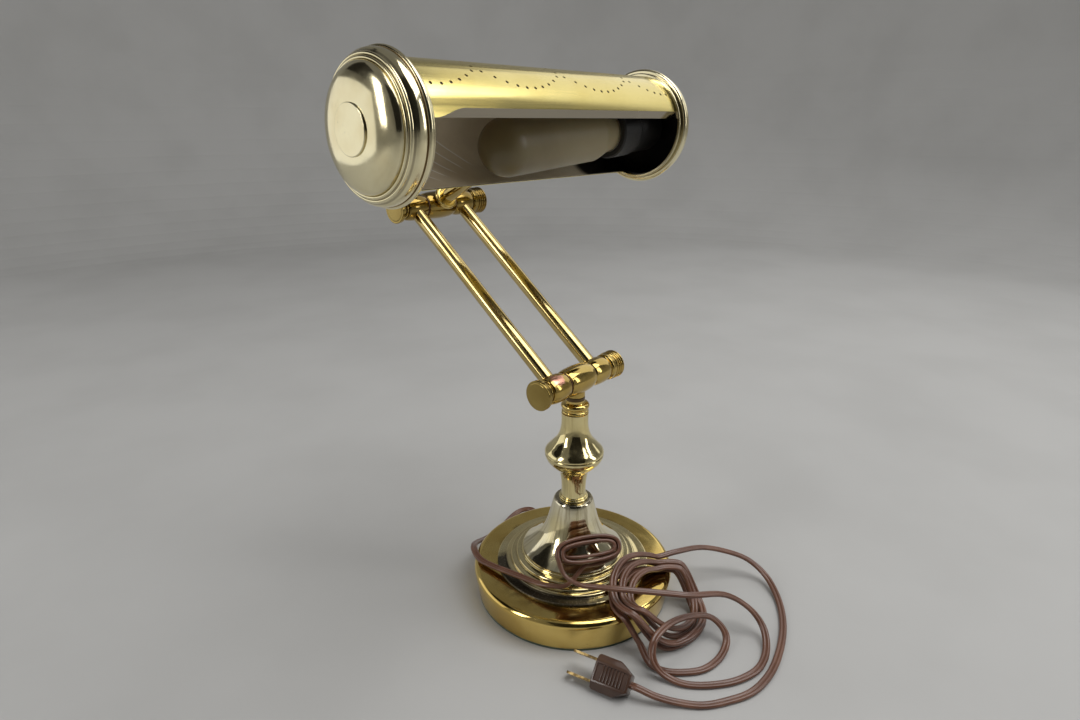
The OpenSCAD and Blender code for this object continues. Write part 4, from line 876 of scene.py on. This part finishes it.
# %% [markdown]
# ## Shade
# The tube keeps its CAD shape: the pierced holes, the slot and the creased lip are all there. One finish covers
# it, and tells its faces apart by the distance from the tube's axis. Outside is satin brass with faint streaks
# along the tube, the cut edges of the holes are painted dark as painted shade, the folded lip is grey, and
# inside is pale paint, scratched near the left end and painted black towards the lamp holder as painted shade.

# %% Satin brass outside, paint inside
SATIN, SATIN_DEEP, SATIN_STAIN = (0.84, 0.70, 0.26), (0.77, 0.625, 0.21), (0.58, 0.44, 0.15)
PAINT, PAINT_DEEP, SCRAPED = (0.76, 0.67, 0.51), (0.70, 0.61, 0.46), (0.97, 0.95, 0.92)
SHADOW_BLACK, LIP_GREY, HOLE_WALL_SHADE = (0.012, 0.010, 0.009), (0.36, 0.32, 0.25), (0.035, 0.022, 0.012)


def shade_finish():
    place = new_finish("shade_brass_and_paint")
    radius, length, angle, _ = turned_frame(place, SHADE, (0, 90, 0))
    x, y, z = parts(place)
    outside = past(radius, TUBE_R - 0.28, TUBE_R - 0.20)
    streak = cloud(vector(place, length * 0.012, angle * 0.034, 0.0), 700, 2)
    mottle = fade(cloud(place, 30, 4, 0.55), 0.40, 0.70)
    stained = fade(cloud(place, 34, 5, 0.65), 0.52, 0.70) * (1 - past(x, -105, -50))
    metal = tint(stained * 0.5, tint(mottle, SATIN, SATIN_DEEP), SATIN_STAIN)
    metal = tint(fade(cloud(place, 1000, 2), 0.72, 0.78) * 0.25, metal, YELLOW_STAIN)
    metal_rough = 0.20 + mottle * 0.04 + (streak - 0.5) * 0.14 + stained * 0.05
    slant = x + angle * 0.043
    stroke = slant.math("PINGPONG", (slant + 0.0054) / 0.0116 + (cloud(place, 45, 1) - 0.5) * 0.4, 0.5)
    reach = x - slant * 0.7
    scratch = (1 - fade(stroke, 0.02, 0.09)) * band(reach, -66, -52, -40, -33) * band(slant, -46, -40, 12, 18)
    paint = tint(fade(cloud(place, 80, 4), 0.4, 0.7), PAINT, PAINT_DEEP)
    paint = tint(scratch * 0.9, paint, SCRAPED)
    # Painted shade: the inside turns black towards the lamp holder
    painted_shade_end = past(x + (cloud(place, 60, 2) - 0.5) * 0.006, 58, 68)
    paint = tint(painted_shade_end, paint, SHADOW_BLACK)
    front = 1 - past(y, SHADE.y - 28.4, SHADE.y - 27.0)
    lip = front * band(z, SHADE.z + 4, SHADE.z + 5, SHADE.z + 9.9, SHADE.z + 10.1)
    # Painted shade: the cut walls of the holes and the top of the crease are painted dark
    cut = past(radius, TUBE_R - 0.74, TUBE_R - 0.68) * (1 - lip)
    inner = tint(cut, tint(lip, paint, LIP_GREY), HOLE_WALL_SHADE)
    inner_rough = 0.50 - scratch * 0.15 - painted_shade_end * 0.2 - lip * 0.18
    return dress(place, Base_Color=tint(outside, inner, metal), Metallic=outside + (1 - outside) * lip,
                 Roughness=outside * metal_rough + (1 - outside) * inner_rough)


def only_finish(node, finish):
    """A CAD node keeps its shape and gets one finish."""
    cad_nodes[node].data.materials.clear()
    cad_nodes[node].data.materials.append(finish)
    print(node, "in", finish.name)


only_finish("shade_tube", shade_finish())

# %% [markdown]
# ### End caps
# Each end cap is spun from one disc: a skirt that slips over the tube, a rolled rim, a band, two thin beads and
# a wide bun that is round from its wall to the flat button on it. The bun was measured in the photo once more
# and is wider and rounder than in the CAD. The grooves hold a brown line of old polish. Inside, the left cap is
# painted like the tube and the right one is painted black as painted shade, so the inner faces get a finish of
# their own.

# %% Outline of the end caps
CAP_AT, DOME_FOOT, DOME_IN, DOME_WIDE, DOME_RISE, CROWN = 110.6, 11.8, 9.7, 21.0, 7.6, 0.3
DOME_H = DOME_FOOT + DOME_RISE + CROWN
DOME_STEPS, CROWN_STEPS, CAP_WALL = 36, 6, 0.9
BUTTON_R, BUTTON_RISE, BUTTON_STEPS, SEAT_GAP = 12.3, 0.6, 8, 0.05


def dome_at(r):
    """Height of the bun at a radius."""
    out = max(0.0, r - DOME_IN) / DOME_WIDE
    return DOME_FOOT + DOME_RISE * sqrt(1 - out * out) + CROWN * max(0.0, 1 - (r / DOME_IN) ** 2)


def dome_line(drop):
    """The bun from its wall to its middle, or its inner face where drop is the wall."""
    wide, rise = DOME_WIDE - drop, DOME_RISE - drop
    turns = [radians(90 * i / DOME_STEPS) for i in range(DOME_STEPS + 1)]
    crown = [DOME_IN * (1 - i / CROWN_STEPS) for i in range(1, CROWN_STEPS + 1)]
    return [*[(DOME_IN + wide * cos(a), DOME_FOOT + rise * sin(a)) for a in turns],
            *[(r, dome_at(r) - drop) for r in crown]]


cap_outline = [(33.4, -3), (34.9, -3), (35.3, -2.2), (34.9, -0.4), (35.0, 0), *arc(36.5, 1.5, 1.5, -90, 90, 14),
               *flank([(36.3, 3.2), (36.8, 3.9), (36.7, 6), (36.2, 7.6), (35.3, 8.7)]),
               *arc(33.5, 9.7, 1.0, -10, 130), *arc(31.6, 10.9, 0.95, -10, 150),
               *dome_line(0), *reversed(dome_line(CAP_WALL)), (32.6, 9.0), (33.0, 8.0), (33.0, 2.5), (32.4, 1),
               (33.4, 1)]
button_r = [BUTTON_R * i / BUTTON_STEPS for i in range(BUTTON_STEPS + 1)]
button_outline = [*[(r, dome_at(r) + SEAT_GAP) for r in button_r], (BUTTON_R, DOME_H + BUTTON_RISE),
                  (0, DOME_H + BUTTON_RISE)]
print("cap outline", len(cap_outline), "points")


# %% Finishes of the end caps
OLD_POLISH, SHADOW_BLACK_PATCH = (0.20, 0.115, 0.04), (0.022, 0.018, 0.015)


def cap_wear(place, radius, height, angle):
    out = height.math("ABSOLUTE", height, 0)
    rim = band(out, 113.0, 113.5, 114.0, 114.6) * (1 - past(radius, 36.9, 37.3))
    first = band(radius, 34.4, 34.7, 35.1, 35.5)
    second = band(radius, 32.3, 32.6, 32.9, 33.3)
    third = band(radius, 30.3, 30.6, 30.9, 31.3)
    return [(rim * 0.85, OLD_POLISH, 0.2), ((first + second + third * 0.6) * 0.5, PALE_STAIN, 0.12)]


end_brass = spun_brass("end_cap_brass", CAP, 0.12, SHADE, (0, 90, 0), pits=0.35, rings=0.25, spots=cap_wear)


def patchy(name, colour, over, scale, low, rough, wear, shine=0.5):
    """Two shades in patches about 1 / scale metres across, the second duller by wear."""
    place = new_finish(name)
    patch = fade(cloud(place, scale, 4), low, 0.7)
    return dress(place, Base_Color=tint(patch, colour, over), Roughness=rough + patch * wear,
                 Specular_IOR_Level=shine)


# The right cap's inside is painted black as painted shade at the lamp holder's end
cap_paint = {-1: patchy("grey_cap_paint", PAINT, PAINT_DEEP, 80, 0.4, 0.5, 0.08),
             1: patchy("shadow_black_cap_paint", SHADOW_BLACK, SHADOW_BLACK_PATCH, 80, 0.4, 0.3, 0.08)}
print("cap finishes", end_brass.name, *[paint.name for paint in cap_paint.values()])

# %% End caps and buttons
CAP_BORE, BEAD_FOOT = 33.35, 8.9
for side, name in SIDES:
    place = at(SHADE + Vector((side * CAP_AT, 0, 0))) @ ALONG_X
    shape = lathe(cap_outline, [(0.3, [1, 2])], 208, place=place, mirror=side < 0)
    for face in shape.faces:
        middle = face.calc_center_median() - SHADE * MM
        r, h = hypot(middle.y, middle.z) / MM, side * middle.x / MM - CAP_AT
        face.material_index = int(r < CAP_BORE and (face.normal.x * side < -0.2 or h < BEAD_FOOT))
    piece(f"end_cap_{name}", shape, end_brass, f"shade_cap_{name}", inside=[cap_paint[side]])
    button = lathe(button_outline, [(0.4, [BUTTON_STEPS + 1])], 128, place=place, mirror=side < 0)
    piece(f"end_button_{name}", button, end_brass, f"cap_button_{name}")

# %% [markdown]
# ## Bulb
# A long tubular bulb with a frosted coat. Real frosted glass lets light through and spreads it. As it is unlit
# and only seen from outside, a dull warm body with a thin clear coat gives the same look without the noise.
# Its colour is darkened as painted shade, for the shade around it, and turns lighter towards the lamp holder
# as painted light.

# %% Frosted bulb
# The bulb's colours are darkened as painted shade; the third one is painted light towards the holder
SHADED_FROST, SHADED_FROST_DEEP, PAINTED_LIGHT_FROST = (0.165, 0.128, 0.055), (0.135, 0.100, 0.040), (0.29, 0.24, 0.13)


def frosted():
    place = new_finish("frosted_glass")
    warm = fade(cloud(place, 26, 3), 0.40, 0.66)
    x, _, _ = parts(place)
    painted_light_to_holder = past(x + (cloud(place, 30, 2) - 0.5) * 0.03, -50, 60)
    glass = tint(painted_light_to_holder, tint(warm, SHADED_FROST, SHADED_FROST_DEEP), PAINTED_LIGHT_FROST)
    return dress(place, Base_Color=glass, Roughness=0.42 + warm * 0.1,
                 Subsurface_Weight=0.15, Subsurface_Scale=0.004, Coat_Weight=0.06, Coat_Roughness=0.25,
                 Normal=bump(cloud(place, 1800, 2), 0.01, 0.3))


HOLDER_END, HOLDER_LEN, DROOP = TUBE_HALF + 5.5, 47, radians(-4.2)
BULB_R, BULB_ROUND = 17, -96
socket_place = (at(SHADE + Vector((HOLDER_END, 0, 0))) @ Matrix.Rotation(DROOP, 4, "Y")
                @ at((-HOLDER_LEN, 0, 0)) @ ALONG_X)
bulb_line = [*flank([(12.5, 0), (13, -5), (16, -16), (BULB_R, -20)]), *arc(0, BULB_ROUND, BULB_R, 0, -90, 18)]
turned("bulb", frosted(), "bulb_glass", [(0, 0), *bulb_line], (), 112, socket_place)

# %% [markdown]
# ## The switch knob
# A small fluted knob on the back of the shade. Its flutes are a circle of points pulled in and out, drawn up
# into a body and rounded on the edge.

# %% Fluted knob
FLUTES, FLUTE_DEPTH, KNOB_R, KNOB_LEN, KNOB_LIFT = 18, 0.045, 7, 11.0, 4.3
SPINDLE_R, SPINDLE_FOOT, SPINDLE_TOP = 1.8, 29, TUBE_R + 4.5
KNOB_AT = SHADE + Vector((78, 0, 0))
knob_way = at(KNOB_AT) @ Matrix.Rotation(radians(-90), 4, "X")
shape = bmesh.new()
circle = bmesh.ops.create_circle(shape, cap_ends=True, segments=FLUTES * 6, radius=KNOB_R * MM)["verts"]
for vert in circle:
    wave = cos(FLUTES * atan2(vert.co.y, vert.co.x))
    vert.co *= 1 - FLUTE_DEPTH * (0.5 - 0.5 * wave)
draw_up(shape, shape.faces[:], 0, 0, KNOB_LEN)
outward(shape)
crown = [f for f in shape.faces if f.normal.z > 0.9]
soften(shape, list({e for f in crown for e in f.edges}), 1.2, 4)
crown = [f for f in shape.faces if f.normal.z > 0.99]
bmesh.ops.inset_region(shape, faces=crown, thickness=1.2 * MM, depth=-0.4 * MM)
move(shape, knob_way @ at((0, 0, TUBE_R + KNOB_LIFT)))
knob_brass = spun_brass("switch_brass", YELLOW, 0.2, KNOB_AT, (-90, 0, 0), rings=1.0)
join(shape, lathe([(0, SPINDLE_FOOT), (SPINDLE_R, SPINDLE_FOOT), (SPINDLE_R, SPINDLE_TOP), (0, SPINDLE_TOP)],
                  (), 32, place=knob_way))
piece("turn_knob", shape, knob_brass, "switch_knob", sharp=28)

# %% [markdown]
# ## Finishes of the CAD nodes that stay
# Nuts, washers and the parts hidden inside keep their CAD shape. Each gets a finish of what it is made of:
# brass, zinc plate, cast iron, felt, fibre and black phenolic.

# %% Plated, cast, woven and moulded stuff
def grained(name, colour, over, metallic, rough, scale, depth):
    place = new_finish(name)
    grain = cloud(place, scale, 4, 0.6)
    patch = fade(cloud(place, scale * 0.12, 4), 0.40, 0.66)
    return dress(place, Base_Color=tint(patch, colour, over), Metallic=metallic,
                 Roughness=rough + (grain - 0.5) * 0.2 + patch * 0.08, Normal=bump(grain, depth, 0.6))


def felt(name, colour, over):
    place = new_finish(name)
    fuzz = cloud(place, 2600, 4, 0.7)
    tufts = cloud(place, 500, 3)
    return dress(place, Base_Color=tint(fade(fuzz + tufts * 0.5, 0.5, 1.0), colour, over), Roughness=0.95,
                 Sheen_Weight=0.4, Sheen_Roughness=0.5, Normal=bump(fuzz, 0.25, 0.8))


only_finish("felt_pad", felt("green_felt", (0.030, 0.052, 0.028), (0.075, 0.105, 0.055)))
for node in ("post_wire", "rod_wire", "stem_wire"):
    only_finish(node, cord_vinyl)

# %% Hand them out
KEPT = (
    ("zinc_plate", (0.62, 0.62, 0.61), (0.50, 0.50, 0.49), 1.0, 0.32, 900, 0.02,
     "base_washer base_nut stem_nut socket_strap strap_screw strap_nut"),
    ("screw_shell", (0.66, 0.64, 0.60), (0.52, 0.50, 0.46), 1.0, 0.28, 800, 0.02, "bulb_base"),
    ("cast_iron", (0.07, 0.068, 0.065), (0.11, 0.085, 0.065), 0.4, 0.65, 700, 0.15, "base_weight"),
    ("dark_bronze", (0.20, 0.14, 0.07), (0.13, 0.09, 0.05), 1.0, 0.3, 900, 0.01, "swivel_washer"),
    ("brown_fibre", (0.10, 0.045, 0.022), (0.15, 0.075, 0.04), 0.0, 0.6, 1400, 0.04,
     "lower_fibre_rings upper_fibre_rings"),
    ("black_phenolic", (0.009, 0.008, 0.007), (0.015, 0.013, 0.011), 0.0, 0.45, 600, 0.015,
     "lamp_socket switch_body"),
    ("turned_core_brass", (0.66, 0.48, 0.18), (0.50, 0.33, 0.11), 1.0, 0.3, 900, 0.02,
     "centre_pipe swivel_stub lower_axle upper_axle"),
    ("hex_brass", *YELLOW[:2], 1.0, 0.2, 500, 0.01, "switch_nut"),
    ("flange_brass", *YELLOW[:2], 1.0, 0.16, 90, 0.004, "stem_flange stem_ring"))
for *look, nodes in KEPT:
    finish = grained(*look)
    for node in nodes.split():
        only_finish(node, finish)

# %% [markdown]
# ## Floor, light and world
# The lamp stands on a pale floor that curves up into a round backdrop, so that every view has the same plain
# ground. Polished brass is only as good as what it mirrors: a broad soft lamp overhead, two narrow ones and a
# wide weak panel on each side give it bright bands, and dark cards behind the camera and high on the left give
# it depth between them. The lamps and cards aren't seen by the camera itself.

# %% Pale floor and backdrop
GROUND_R, GROUND_BEND, GROUND_TOP, GROUND_DROP = 1500, 500, 1400, 0.05
pale_ground = patchy("pale_ground", (0.52, 0.515, 0.50), (0.49, 0.485, 0.47), 6, 0.35, 0.75, 0.0, 0.25)
ground = lathe([(0, 0), (GROUND_R, 0), *arc(GROUND_R, GROUND_BEND, GROUND_BEND, -90, 0, 16),
                (GROUND_R + GROUND_BEND, GROUND_TOP)], (), 96, closed=False, place=at((0, 0, -GROUND_DROP)))
for face in ground.faces:
    face.normal_flip()
floor = thing("ground", ground, pale_ground)
floor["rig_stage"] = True

# %% Lamps and dark cards
def stand(made, place, aim):
    """Places a lamp or card, turns it to its aim and hides it from the camera."""
    made.location = place
    made.rotation_euler = (Vector(aim) - Vector(place)).to_track_quat("-Z", "Y").to_euler()
    made.visible_camera = False
    scene.collection.objects.link(made)


def soft_lamp(name, place, wide, high, watts, aim=(0, 0, 0.17)):
    light = bpy.data.lights.new(name, "AREA")
    light.shape, light.size, light.size_y, light.energy = "RECTANGLE", wide, high, watts
    stand(bpy.data.objects.new(name, light), place, aim)
    print(name, watts, "W")


def dark_card(name, place, wide, high, aim=(0, 0, 0.2)):
    mesh = bpy.data.meshes.new(name)
    corners = [(x * wide / 2, y * high / 2, 0) for x, y in ((-1, -1), (1, -1), (1, 1), (-1, 1))]
    mesh.from_pydata(corners, [], [(0, 1, 2, 3)])
    mesh.materials.append(black_card)
    card = bpy.data.objects.new(name, mesh)
    stand(card, place, aim)
    card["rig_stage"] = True
    print(name, wide, "x", high, "m")


black_card = dress(new_finish("black_card"), Base_Color=(0.012, 0.011, 0.010), Roughness=0.9)
soft_lamp("overhead", (0.35, -0.50, 1.60), 1.2, 1.2, 16)
soft_lamp("left_window", (-1.20, 0.40, 0.75), 0.30, 0.9, 4.5, (-0.3, 0.25, 0.1))
soft_lamp("front_window", (0.70, -1.15, 0.75), 0.30, 0.9, 3)
soft_lamp("right_panel", (1.30, 0.02, 1.08), 1.35, 1.15, 3.8)
soft_lamp("left_panel", (-0.85, 1.25, 0.42), 1.3, 0.8, 2.2)
dark_card("card_behind_camera", (-0.66, -0.80, 0.85), 1.4, 1.4)
dark_card("card_left", (-0.66, 1.00, 1.30), 0.9, 0.75)

# %% World
world = bpy.data.worlds.new("room")
scene.world = world
world.use_nodes = True
room = world.node_tree.nodes["Background"]
room.inputs["Color"].default_value = (1.0, 1.0, 1.0, 1)
room.inputs["Strength"].default_value = 0.16
scene.view_settings.view_transform = "Standard"
print("world strength", round(room.inputs["Strength"].default_value, 2))

# %% How much the dressing grew the box
new_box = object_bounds()
growth = [(n - c) / MM for n, c in zip((*new_box[0], *new_box[1]), (*cad_box[0], *cad_box[1]))]
print("growth in mm", [round(g, 1) for g in growth])
